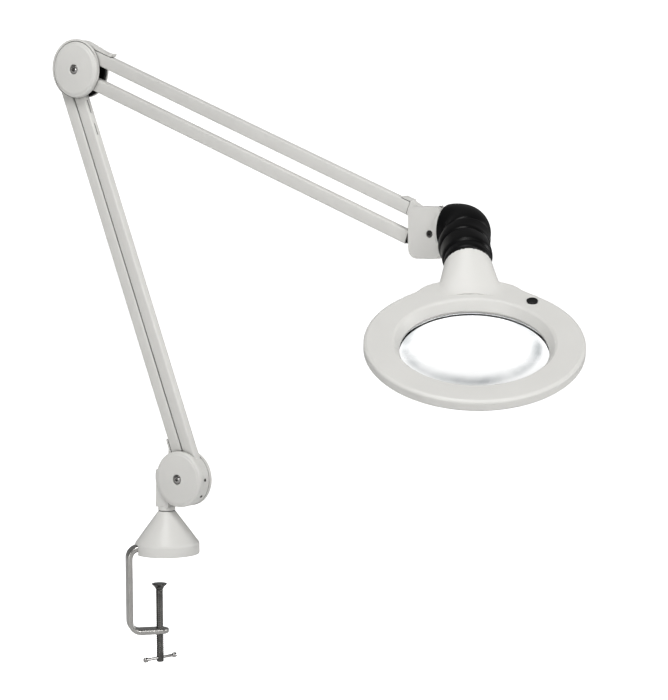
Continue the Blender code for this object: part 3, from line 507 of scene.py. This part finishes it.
def bar(name, x, y0, y1, place, along_x=False):
    """Rectangular tube with rolled corners and cleaned cut ends."""
    wall, corner = 1.2, 1.7

    def section(inset):
        w = 0.5 * BAR_WIDTH - 0.2 - inset
        d = 0.5 * BAR_DEPTH + 0.05 - inset
        c = max(corner - inset, 0.3)
        return fillet([(-w, -d, c), (w, -d, c), (w, d, c), (-w, d, c)], steps=6)

    if along_x:
        spot = aimed(place, y0, x, (1.0, 0.0, 0.0)) @ Matrix.Rotation(math.radians(90), 4, "Z")
    else:
        spot = aimed(place, x, y0, (0.0, 1.0, 0.0))
    length = y1 - y0
    loops = [(0.35, 0.0), (0.1, 0.1), (0.0, 0.35), (0.0, length - 0.35), (0.1, length - 0.1),
             (0.35, length), (wall, length), (wall, 0.0)]
    rows = [[(px, py, z) for px, py in section(inset)] for inset, z in loops]
    verts = [v for row in rows for v in row]
    return shaded(from_faces(name, verts, loop_faces(len(rows), len(rows[0])), spot), 40.0)


def hub_cover(name, place):
    """Front disc: slightly domed, with a fine step before its rounded rim."""
    profile = [(3.1, 9.6), (4.9, 9.6, 0.2), (4.9, 11.9, 0.3), (5.6, 12.42, 0.5), (7.2, 12.3, 1.0),
               (15.0, 11.95, 6.0), (22.8, 11.3, 1.5), (24.0, 11.1, 0.3), (24.4, 10.7, 0.3),
               (26.4, 10.3, 1.8), (27.3, 9.2, 1.2), (27.3, 4.7, 0.3), (3.1, 4.7)]
    return turned(name, fillet(profile), place, 144, closed=True)


def centre_screw(name, place):
    """Plated button-head screw with a hexagon socket, sunk in its cover."""
    profile = [(0.0, 12.2), (2.4, 12.2, 0.5), (4.2, 11.3, 1.4), (4.5, 9.9, 0.3), (2.8, 9.9),
               (2.8, -10.6), (0.0, -10.6)]
    body = turned(name, fillet(profile, closed=False), place, 64)
    cut(body, hexagon(name + "_socket", 3.1, 10.4, 14.0, place))
    return shaded(body, 30.0)


def cap_screw(name, radius, z, place, shank, z0, across):
    """Small cap screw with a hexagon socket; z is the top of its head."""
    profile = [(0.0, z), (radius - 0.2, z, 0.6), (radius, z - 0.9, 0.3), (radius, z - 1.5, 0.2),
               (shank, z - 1.5), (shank, z0), (0.0, z0)]
    body = turned(name, fillet(profile, closed=False), place, 48)
    cut(body, hexagon(name + "_socket", across, z - 1.2, z + 1.0, place))
    return shaded(body, 30.0)


def tiny_screw(name, radius, place, length):
    """Small domed screw with a crossed recess; the seat is the frame's z = 0 plane."""
    body = turned(name, fillet([(0.0, 0.85), (0.55 * radius, 0.8, 0.3), (radius, 0.3, 0.2),
                                (radius, 0.0), (0.45 * radius, 0.0), (0.45 * radius, -length),
                                (0.0, -length)], closed=False), place, 32)
    wing = 0.55 * radius
    thin = 0.16 * radius
    cut(body, box("wing_a", -wing, wing, -thin, thin, 0.25, 1.5, place),
        box("wing_b", -thin, thin, -wing, wing, 0.25, 1.5, place))
    return shaded(body, 30.0)


# ---------------------------------------------------------------- clamp

def build_clamp_bar():
    """Flat bar with rolled edges, bent into a C, its lower end rounded about the screw."""
    half, wide, edge, bend = 2.6, 9.0, 1.9, 10.6
    path = [(12.0, 6.6, 0.0, 1.0)]
    for cy, start in ((-4.0, 90.0), (-65.8, 180.0)):
        for k in range(19):
            a = math.radians(start + 5.0 * k)
            path.append((-27.3 + bend * math.cos(a), cy + bend * math.sin(a), math.cos(a),
                         math.sin(a)))
    path.append((SCREW_AT, -76.4, 0.0, -1.0))
    section = fillet([(-half, -wide, edge), (half, -wide, edge), (half, wide, edge),
                      (-half, wide, edge)], steps=6)
    verts = [(x + n * nx, y + n * ny, z) for x, y, nx, ny in path for n, z in section]
    width = len(section)
    faces = [list(range(width)), list(range(len(verts) - width, len(verts)))]
    obj = from_faces("clamp_bar", verts, faces + loop_faces(len(path), width, False), CLAMP)
    bm = bmesh.new()
    bm.from_mesh(obj.data)
    bmesh.ops.recalc_face_normals(bm, faces=bm.faces)
    bm.to_mesh(obj.data)
    bm.free()
    join(obj, turned("jaw_end", fillet([(0.0, -73.81), (8.99, -73.81, edge), (8.99, -78.99, edge),
                                        (0.0, -78.99)], closed=False, steps=6),
                     vertical_at(SCREW_AT), 96))
    cut(obj, rod("jaw_bore", 3.8, -82.0, -70.0, vertical_at(SCREW_AT)),
        rod("bolt_bore", 3.3, 0.0, 12.0, vertical_at(0.0)),
        rod("bolt_well", 5.5, 0.0, 6.3, vertical_at(0.0)))
    piece(shaded(obj, 32.0), "clamp", "steel", "clamp_frame")


def build_clamp():
    build_clamp_bar()
    cone = turned("foot_cone", fillet([
        (7.9, 42.1), (8.3, 42.1, 0.4), (9.4, 40.8, 1.2), (31.1, 11.3, 3.0), (31.65, 9.4, 1.0),
        (31.65, 0.0, 0.5), (29.7, 0.0), (29.6, 9.6), (7.9, 39.4)]), vertical_at(0.0), 144,
        closed=True)
    mouth = solid("cone_mouth", [fillet([(-9.6, -2.0), (9.6, -2.0), (9.6, 9.8, 1.5),
                                         (-9.6, 9.8, 1.5)])], 22.0, 40.0,
                  frame_at((0.0, 0.0, 0.0), (-math.sin(CLAMP_TURN), math.cos(CLAMP_TURN), 0.0),
                           (0.0, 0.0, 1.0)) @ Matrix.Rotation(math.pi, 4, "Y"))
    piece(shaded(cut(cone, mouth), 32.0), "clamp", "enamel", "cone_cover")
    spot = vertical_at(SCREW_AT)
    top = -29.7
    pad = turned("pad_disc", fillet([
        (0.0, top), (7.3, top, 0.3), (7.7, top - 0.6, 0.4), (5.6, top - 2.4, 2.0),
        (4.1, top - 4.3, 1.6), (3.9, top - 5.6, 0.3), (2.6, top - 5.6), (2.6, top - 1.9),
        (0.0, top - 1.9)], closed=False), spot, 72)
    piece(pad, "pressure_foot", "dark_steel", "pressure_pad")
    build_thread(spot, top)
    middle = spot.translation / MM + TOMMY_HEIGHT * UP
    cross = frame_at(middle, UP, UP.cross(TOMMY_SIDE) * -1.0)
    end = [(0.0, 20.0), (2.0, 20.0, 0.7), (2.4, 19.3, 0.5), (2.4, 16.6, 0.6), (1.9, 16.0, 0.4),
           (1.4, 15.7, 0.3)]
    other = [(p[0], -p[1], *p[2:]) for p in reversed(end)]
    piece(turned("cross_bar", fillet(end + other, closed=False), cross, 48), "tommy", "chrome",
          "tommy_bar")


def build_thread(spot, top):
    """Clamp screw with turned ends; its thread has the true pitch but is kept shallow."""
    steps = 32
    rise, pitch, radius, depth = 0.25, 2.0, 3.5, 0.24
    shoulder = top - 5.9
    start, end = shoulder - 1.2, -99.0
    rows = [(0.0, top - 2.2), (2.1, top - 2.4), (2.3, top - 2.9), (2.3, shoulder), (3.0, shoulder),
            (3.35, shoulder - 0.5)]
    levels = int((start - end) / rise)
    verts, faces, rings = [], [], []

    def ring(radius_at, z):
        rings.append(list(range(len(verts), len(verts) + steps)))
        for k in range(steps):
            a = 2.0 * math.pi * k / steps
            r = radius_at(a)
            verts.append((r * math.cos(a), r * math.sin(a), z))

    for r, z in rows[1:]:
        ring(lambda a, r=r: r, z)
    for i in range(levels + 1):
        z = start - i * rise
        fade = min(1.0, i / 6.0, (levels - i) / 6.0)

        def thread(a, z=z, fade=fade):
            phase = (z / pitch - a / (2.0 * math.pi)) % 1.0
            groove = max(0.0, 1.0 - abs(phase - 0.5) / 0.32)
            return radius - depth * fade * groove ** 0.8

        ring(thread, z)
    for r, z in [(radius, -99.4), (radius, -106.4), (3.3, -107.0), (2.6, -107.5)]:
        ring(lambda a, r=r: r, z)
    for low, high in zip(rings[1:], rings):
        for k in range(steps):
            m = (k + 1) % steps
            faces.append([high[k], low[k], low[m], high[m]])
    faces.append(list(rings[0]))
    faces.append(list(reversed(rings[-1])))
    obj = from_faces("threaded_rod", verts, faces, spot)
    hole = aimed(shifted(spot, z=TOMMY_HEIGHT), 0.0, 0.0, TOMMY_SIDE)
    cut(obj, rod("cross_hole", 1.75, -8.0, 8.0, hole, 24))
    piece(shaded(obj, 38.0), "screw", "dark_steel", "clamp_screw")


# ---------------------------------------------------------------- base joint

def build_base():
    piece(refined("base_yoke", "base_casting", 0.7, 3), "base_bracket", "enamel", "base_yoke")
    piece(hub_cover("base_disc", LOWER), "base_bracket", "enamel", "base_front_cover")
    piece(centre_screw("base_screw", LOWER), "base_bracket", "chrome", "base_centre_screw")


# ---------------------------------------------------------------- lower arm

def build_lower_arm():
    right = INNER_X + 0.5 * BAR_WIDTH
    shoulder = math.sqrt(FOOT_RADIUS ** 2 - right ** 2)
    inner = bar("inner_bar", INNER_X, shoulder - 6.0, LOWER_SPAN - 18.0, LOWER)
    for start, end in ((348.0, 360.0), (370.5, 384.5)):
        mid = LOWER @ (Vector((right, 0.5 * (start + end), 0.0)) * MM) / MM
        spot = frame_at(mid, LOWER.to_3x3() @ Vector((0.0, 1.0, 0.0)),
                        LOWER.to_3x3() @ UP)
        half = 0.5 * (end - start)
        cut(inner, solid("slit", [fillet([(-half, 0.3, 0.6), (half, 0.3, 0.6), (half, 1.6, 0.6),
                                          (-half, 1.6, 0.6)])], -2.0, 1.0, spot))
    piece(shaded(inner, 40.0), "lower_inner_bar", "enamel_arm", "lower_inner_tube")
    piece(refined("lower_inner_foot", "inner_casting", 0.5, 3), "lower_inner_bar", "enamel",
          "lower_inner_foot")
    for number, angle in ((1, -20.0), (2, -57.0)):
        radial = (math.cos(math.radians(angle)), math.sin(math.radians(angle)), 0.0)
        seat = aimed(shifted(LOWER, z=2.0), FOOT_RADIUS * radial[0], FOOT_RADIUS * radial[1],
                     radial)
        piece(tiny_screw("rim_screw_head_%d" % number, 1.5, seat, 5.0), "lower_inner_bar",
              "dark_steel", "rim_screw_%d" % number)
    piece(bar("outer_bar", OUTER_X, 26.8, LOWER_SPAN - 12.0, LOWER), "lower_outer_bar",
          "enamel_arm", "lower_outer_tube")
    for node, name in (("lower_outer_foot", "outer_foot"), ("lower_outer_head", "outer_head")):
        piece(refined(node, name, 0.5, 3), "lower_outer_bar", "enamel", node)


# ---------------------------------------------------------------- elbow

def build_elbow():
    rear = turned("elbow_back_disc", fillet([
        (3.1, -7.1), (27.0, -7.1, 0.3), (27.3, -7.4), (27.3, -9.3, 1.0), (25.1, -10.5, 1.5),
        (6.4, -10.95, 0.4), (6.0, -10.6), (6.0, -9.0), (3.1, -9.0)]), UPPER, 128, closed=True)
    piece(rear, "elbow", "enamel", "elbow_rear_plate")
    band = turned("elbow_band", fillet([(12.0, 8.8), (28.9, 8.8, 0.8), (28.9, 5.0, 0.3),
                                        (12.0, 5.0)]), shifted(UPPER, -1.8, 0.3), 144,
                  closed=True)
    disc = join(hub_cover("elbow_disc", UPPER), band)
    cut(disc, turned("rim_groove", [(27.2, 13.0), (28.0, 13.0), (28.0, 7.6), (27.2, 7.6)], UPPER,
                     144, closed=True))
    piece(shaded(disc, 32.0), "elbow", "enamel", "elbow_front_cover")
    piece(centre_screw("elbow_screw", UPPER), "elbow", "chrome", "elbow_centre_screw")
    piece(refined("elbow_core", "elbow_spacer", 0.3, 2), "elbow", "black_nylon", "elbow_core")


# ---------------------------------------------------------------- upper arm

def build_upper_arm():
    piece(bar("top_bar", TOP_Y, 10.0, UPPER_SPAN - 9.0, UPPER, True), "upper_top_bar",
          "enamel_arm", "upper_top_tube")
    for node, name in (("upper_top_root", "top_bar_root"), ("upper_top_end", "top_bar_tail")):
        piece(refined(node, name, 0.5, 3), "upper_top_bar", "enamel", node)
    piece(bar("bottom_bar", BOTTOM_Y, BOTTOM_START + 8.0, BOTTOM_START + UPPER_SPAN - 11.0, UPPER,
              True), "upper_bottom_bar", "enamel_arm", "upper_bottom_tube")
    for node, name in (("upper_bottom_root", "bottom_bar_root"),
                       ("upper_bottom_end", "bottom_bar_end")):
        piece(refined(node, name, 0.3, 2), "upper_bottom_bar", "black_nylon", node)


# ---------------------------------------------------------------- head bracket and bellows

def build_head_bracket():
    piece(refined("head_bracket_shell", "bracket_housing", 0.4, 2, 30.0), "head_bracket",
          "enamel", "head_bracket_shell")
    side = frame_at((311.8, -8.6, 320.0), (1.0, 0.0, 0.0), (0.0, 0.0, 1.0))
    piece(cap_screw("bracket_screw_head", 3.0, -0.3, side, 1.4, -2.9, 2.6), "head_bracket",
          "dark_steel", "bracket_side_screw")


def smooth_step(t):
    t = min(max(t, 0.0), 1.0)
    return t * t * (3.0 - 2.0 * t)


def build_bellows():
    """Ribbed rubber sleeve, made straight and then bent about the joint like the real one."""
    start, end = -17.0, 66.2
    creases = (start + 1.8, 19.5, 35.0, 53.0, end - 2.2)
    swells = (23.2, 23.2, 22.4, 20.9)
    outer = [(18.2, start), (19.3, start), (19.8, start + 0.5), (19.9, start + 1.5)]
    for low, high, swell in zip(creases, creases[1:], swells):
        steps = int(high - low)
        for k in range(1, steps + 1):
            t = k / (steps + 1.0)
            edge = min(t, 1.0 - t) * (high - low)
            lobe = 1.0 - math.exp(-edge / (2.6 if low < 0.0 else 1.6))
            lip = 0.35 * math.exp(-((t * (high - low) - 1.6) / 0.8) ** 2)
            outer.append((swell - 1.5 + 1.5 * lobe + lip, low + t * (high - low)))
        outer.append((swell - 1.9, high))
    outer += [(19.3, end - 1.6), (19.4, end - 0.4), (19.0, end), (17.0, end)]
    inner = [(r - 1.6, u) for r, u in reversed(outer[3:-3])]
    profile = outer + inner
    steps = 96
    total = Vector((1.0, 0.0, 0.0)).angle(AHEAD)
    axis = Vector((1.0, 0.0, 0.0)).cross(AHEAD).normalized()
    verts = []
    for r, u in profile:
        turn = Matrix.Rotation(total * smooth_step((u - start) / 47.0), 3, axis)
        slack = 3.4 * smooth_step((u - start) / 6.0) * smooth_step((50.0 - u) / 35.0)
        middle = BEND_POINT - Vector((slack, 0.0, 0.0))
        for k in range(steps):
            a = 2.0 * math.pi * k / steps
            verts.append(middle + turn @ Vector((u, r * math.cos(a), r * math.sin(a))))
    faces = loop_faces(len(profile), steps)
    obj = shaded(from_faces("bellows_sleeve", verts, faces, Matrix.Identity(4)), 60.0)
    obj.data.materials.append(FINISH["rubber"])
    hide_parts("bellows")
    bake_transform(obj)


# ---------------------------------------------------------------- head

def smooth_union(a, b, k):
    h = np.clip(0.5 + 0.5 * (b - a) / k, 0.0, 1.0)
    return b * (1.0 - h) + a * h - k * h * (1.0 - h)


def polygon_distance(x, y, points):
    """Signed distance to a closed outline, negative inside."""
    best = np.full(x.shape, 1e9)
    inside = np.zeros(x.shape, bool)
    for (ax, ay), (bx, by) in zip(points, points[1:] + points[:1]):
        ex, ey = bx - ax, by - ay
        t = np.clip(((x - ax) * ex + (y - ay) * ey) / (ex * ex + ey * ey), 0.0, 1.0)
        best = np.minimum(best, np.hypot(x - ax - t * ex, y - ay - t * ey))
        if ay != by:
            crossing = (ay > y) != (by > y)
            inside ^= crossing & (x < (bx - ax) * (y - ay) / (by - ay) + ax)
    return np.where(inside, -best, best)


def slab(flat, z, low, high, radius):
    """Distance to a flat plate with rounded edges, from the distance to its outline."""
    dz = np.maximum(z - high, low - z) + radius
    d2 = flat + radius
    return np.hypot(np.maximum(d2, 0.0), np.maximum(dz, 0.0)) + np.minimum(
        np.maximum(d2, dz), 0.0) - radius


NECK_END = -119.4


def neck_body(x, y, z, inset):
    """Distance to the neck's tapering sleeve."""
    run = x - NECK_END
    wide = 21.4 + 0.20 * run - inset
    high = 20.2 - 0.43 * run - inset
    low = -20.2 + 0.05 * run + 0.0042 * run * run + inset
    mid = 0.5 * (high + low)
    tall = np.maximum(0.5 * (high - low), 2.0)
    ratio = np.sqrt((y / wide) ** 2 + ((z - mid) / tall) ** 2)
    return (ratio - 1.0) * np.minimum(wide, tall)


def neck_distance(x, y, z):
    """Distance to the neck: its sleeve and the plate that joins it to the ring.

    The plate runs on under the ring's own skin, and through the push button's stem.
    """
    half = [(-96.0, 20.0), (-95.6, 27.5), (-93.8, 32.0), (-91.0, 36.8), (-86.5, 41.6),
            (-80.5, 45.8), (-76.0, 49.0)]
    outline = half + [(px, -py) for px, py in reversed(half)]
    flat = smooth_union(np.hypot(x, y) - 92.42, polygon_distance(x, y, outline) - 0.5, 3.0)
    plate = slab(flat, z, -9.0, -0.05, 2.0)
    sleeve = np.maximum(neck_body(x, y, z, 0.0), -119.0 - x)
    sleeve = np.maximum(sleeve, np.maximum(x + 66.0, -9.0 - z - np.maximum(-93.4 - x, 0.0) * 9.0))
    body = smooth_union(plate, sleeve, 1.5)
    body = np.maximum(body, NECK_END - x)
    crevice_shade_ao = np.maximum(neck_body(x, y, z, 2.0), x + 97.0)
    body = np.maximum(body, -crevice_shade_ao)
    return np.maximum(body, 74.5 - np.hypot(x, y))


def surface_mesh(name, distance, low, high, step, place):
    """Skin of a distance field, by surface nets, with each point moved onto the surface.

    The skin stays open where the body runs out of the grid.
    """
    axes = [np.arange(low[i], high[i] + step, step) for i in range(3)]
    grid = np.meshgrid(*axes, indexing="ij")
    inside = distance(*grid) < 0.0
    shape = [n - 1 for n in inside.shape]
    total = np.zeros(shape, int)
    for dx, dy, dz in product((0, 1), repeat=3):
        total += inside[dx:dx + shape[0], dy:dy + shape[1], dz:dz + shape[2]]
    mixed = (total > 0) & (total < 8)
    index = np.full(shape, -1)
    index[mixed] = np.arange(mixed.sum())
    points = np.array(low) + (np.argwhere(mixed) + 0.5) * step
    for _ in range(8):
        value = distance(*points.T)
        slope = np.stack([(distance(*(points + e).T) - distance(*(points - e).T)) / 0.02
                          for e in np.eye(3) * 0.01], axis=1)
        size = np.maximum((slope ** 2).sum(1), 0.2)
        points -= slope * np.clip(value / size, -0.4 * step, 0.4 * step)[:, None]
    faces = []
    for axis in range(3):
        b, c = (axis + 1) % 3, (axis + 2) % 3
        first = inside.take(range(inside.shape[axis] - 1), axis)
        second = inside.take(range(1, inside.shape[axis]), axis)
        for cell in np.argwhere(first != second):
            if cell[b] < 1 or cell[c] < 1 or cell[b] >= shape[b] or cell[c] >= shape[c]:
                continue
            corners = []
            for db, dc in ((1, 1), (0, 1), (0, 0), (1, 0)):
                spot = cell.copy()
                spot[b] -= db
                spot[c] -= dc
                corners.append(int(index[tuple(spot)]))
            if not first[tuple(cell)]:
                corners.reverse()
            faces.append(corners)
    return shaded(from_faces(name, points.tolist(), faces, place), 38.0)


def build_head():
    shell = turned("lamp_ring", fillet([
        (68.6, 0.0, 2.4), (89.8, 0.0, 2.0), (92.5, -1.4, 2.2), (92.5, -9.0, 0.8), (90.7, -9.0),
        (90.7, -2.2), (69.3, -2.2), (64.6, -9.4), (63.7, -10.4), (63.7, -11.3), (62.5, -11.3, 0.3),
        (62.4, -9.2, 0.8), (66.6, -1.6, 3.0)], steps=6), HEAD, 192, closed=True)
    switch = shifted(HEAD, -63.0, 52.0)
    cut(shell, turned("switch_hole", [(0.0, 3.0), (5.9, 3.0), (5.9, 0.0), (5.4, -0.5),
                                      (5.4, -8.0), (0.0, -8.0)], switch, 48))
    piece(shaded(shell, 32.0), "head", "enamel", "head_shell")
    neck = surface_mesh("neck_sleeve", neck_distance, (-121.0, -58.0, -22.0), (-60.0, 58.0, 22.5),
                        0.9, HEAD)
    piece(neck, "head", "enamel")
    piece(turned("under_rim", fillet([
        (86.2, -9.3), (91.7, -9.3, 0.3), (91.1, -10.0, 0.5), (88.2, -11.6, 0.6),
        (86.2, -11.8, 0.3)]), HEAD, 160, closed=True), "head", "enamel", "head_base")
    piece(turned("light_diffuser", fillet([
        (67.2, -14.6), (85.8, -9.8), (85.8, -11.2, 0.4), (67.2, -16.0, 0.4)]), HEAD, 160,
        closed=True), "head", "opal", "diffuser_ring")
    piece(turned("lens_holder", fillet([
        (63.9, -10.8), (66.7, -10.8), (66.7, -16.4, 0.5), (62.3, -16.4, 0.5), (62.3, -15.1, 0.3),
        (63.9, -14.8)]), HEAD, 160, closed=True), "head", "black_nylon", "lens_ring")
    build_lens()
    button = turned("push_button", fillet([
        (0.0, 0.9), (3.0, 1.15, 2.0), (4.7, 0.8, 0.8), (5.0, -0.2, 0.4), (5.0, -4.0), (0.0, -4.0)],
        closed=False), switch, 48)
    piece(button, "switch", "black_nylon", "switch_button")


def build_lens():
    """Double convex lens, left in its own frame because its crescent of painted shade is placed by it."""
    edge, sag, radius = -12.2, 3.2, 63.5
    steps = 16
    top = [(radius * i / steps, edge + sag * (1.0 - (i / steps) ** 2)) for i in range(steps + 1)]
    low = [(r, 2.0 * edge - 2.0 - z) for r, z in reversed(top)]
    lens = turned("lens_glass", top + low, HEAD, 160)
    lens.data.materials.append(FINISH["glass"])
    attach(lens, "head")
    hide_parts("lens")


# ---------------------------------------------------------------- stage

def seen_directly(nodes, links):
    """1 for what the camera sees, straight or through the lens; 0 for what only lights."""
    path = nodes.new("ShaderNodeLightPath")
    seen = nodes.new("ShaderNodeMath")
    seen.operation = "MAXIMUM"
    links.new(path.outputs["Is Camera Ray"], seen.inputs[0])
    links.new(path.outputs["Is Transmission Ray"], seen.inputs[1])
    return seen.outputs[0]


def build_stage():
    """White floor and backdrop, four soft lights.

    Both stay white to the camera, straight or through the lens, so no shadow shows on them.
    """
    floor = from_faces("floor", [(-9000, -9000, -260), (9000, -9000, -260), (9000, 9000, -260),
                                 (-9000, 9000, -260)], [[0, 1, 2, 3]], Matrix.Identity(4))
    mat, nodes, links, shader = new_material("floor")
    shader.inputs["Base Color"].default_value = (0.85, 0.85, 0.85, 1.0)
    shader.inputs["Roughness"].default_value = 0.9
    shader.inputs["Specular IOR Level"].default_value = 0.0
    shader.inputs["Emission Color"].default_value = (1.0, 1.0, 1.0, 1.0)
    links.new(seen_directly(nodes, links), shader.inputs["Emission Strength"])
    floor.data.materials.append(mat)

    world = bpy.data.worlds.new("studio")
    bpy.context.scene.world = world
    world.use_nodes = True
    nodes, links = world.node_tree.nodes, world.node_tree.links
    nodes.clear()
    ambient = nodes.new("ShaderNodeBackground")
    ambient.inputs["Color"].default_value = (1.0, 1.0, 1.0, 1.0)
    ambient.inputs["Strength"].default_value = 0.2
    paper = nodes.new("ShaderNodeBackground")
    paper.inputs["Color"].default_value = (1.0, 1.0, 1.0, 1.0)
    paper.inputs["Strength"].default_value = 1.25
    mix = nodes.new("ShaderNodeMixShader")
    out = nodes.new("ShaderNodeOutputWorld")
    links.new(seen_directly(nodes, links), mix.inputs["Fac"])
    links.new(ambient.outputs[0], mix.inputs[1])
    links.new(paper.outputs[0], mix.inputs[2])
    links.new(mix.outputs[0], out.inputs["Surface"])

    soft_light("right_light", (5.6, -2.6, 3.0), 118.0)
    soft_light("back_light", (5.0, 3.6, 1.6), 85.0)
    soft_light("top_light", (1.0, -2.4, 5.2), 140.0)
    soft_light("front_light", (0.6, -6.4, 0.9), 68.0)


def soft_light(name, place, power):
    """Round soft box aimed at the lamp's middle; place in metres, power in watts."""
    data = bpy.data.lights.new(name, "AREA")
    data.shape = "DISK"
    data.size = 2.4
    data.energy = power
    lamp = bpy.data.objects.new(name, data)
    bpy.context.scene.collection.objects.link(lamp)
    lamp.location = place
    target = Vector((0.15, -0.05, 0.2))
    lamp.rotation_mode = "QUATERNION"
    lamp.rotation_quaternion = (target - Vector(place)).to_track_quat("-Z", "Y")


CAMERA_ANGLES = (34.97, 5.25, -0.33)      # azimuth, elevation and roll, in degrees
CAMERA_PLACE = (1.5592, -1.9422, 0.4273)  # metres
FOCAL_LENGTH = 131.86                     # millimetres, for a sensor 36 wide


def build_camera():
    azimuth, elevation, roll = (math.radians(v) for v in CAMERA_ANGLES)
    back = Vector((math.sin(azimuth) * math.cos(elevation),
                   -math.cos(azimuth) * math.cos(elevation), math.sin(elevation)))
    level = Vector((math.cos(azimuth), math.sin(azimuth), 0.0))
    upward = back.cross(level)
    right = level * math.cos(roll) + upward * math.sin(roll)
    rows = Matrix((right, back.cross(right), back)).transposed().to_4x4()
    rows.translation = CAMERA_PLACE
    data = bpy.data.cameras.new("camera")
    data.sensor_width = 36.0
    data.lens = FOCAL_LENGTH
    data.clip_end = 100.0
    camera = bpy.data.objects.new("camera", data)
    bpy.context.scene.collection.objects.link(camera)
    camera.matrix_world = rows
    bpy.context.scene.camera = camera
    bpy.context.scene.view_settings.view_transform = "Standard"


def finish_cad_nodes():
    """Every CAD node that still shows takes the finish of its slot."""
    for entry in frame["record"]["subparts"]:
        node = frame["nodes"][entry["node"]]
        node.data.materials.clear()
        node.data.materials.append(FINISH[entry["material_slot"]])


build_stage()
build_camera()
finish_cad_nodes()
build_clamp()
build_base()
build_lower_arm()
build_elbow()
build_upper_arm()
build_head_bracket()
build_bellows()
build_head()
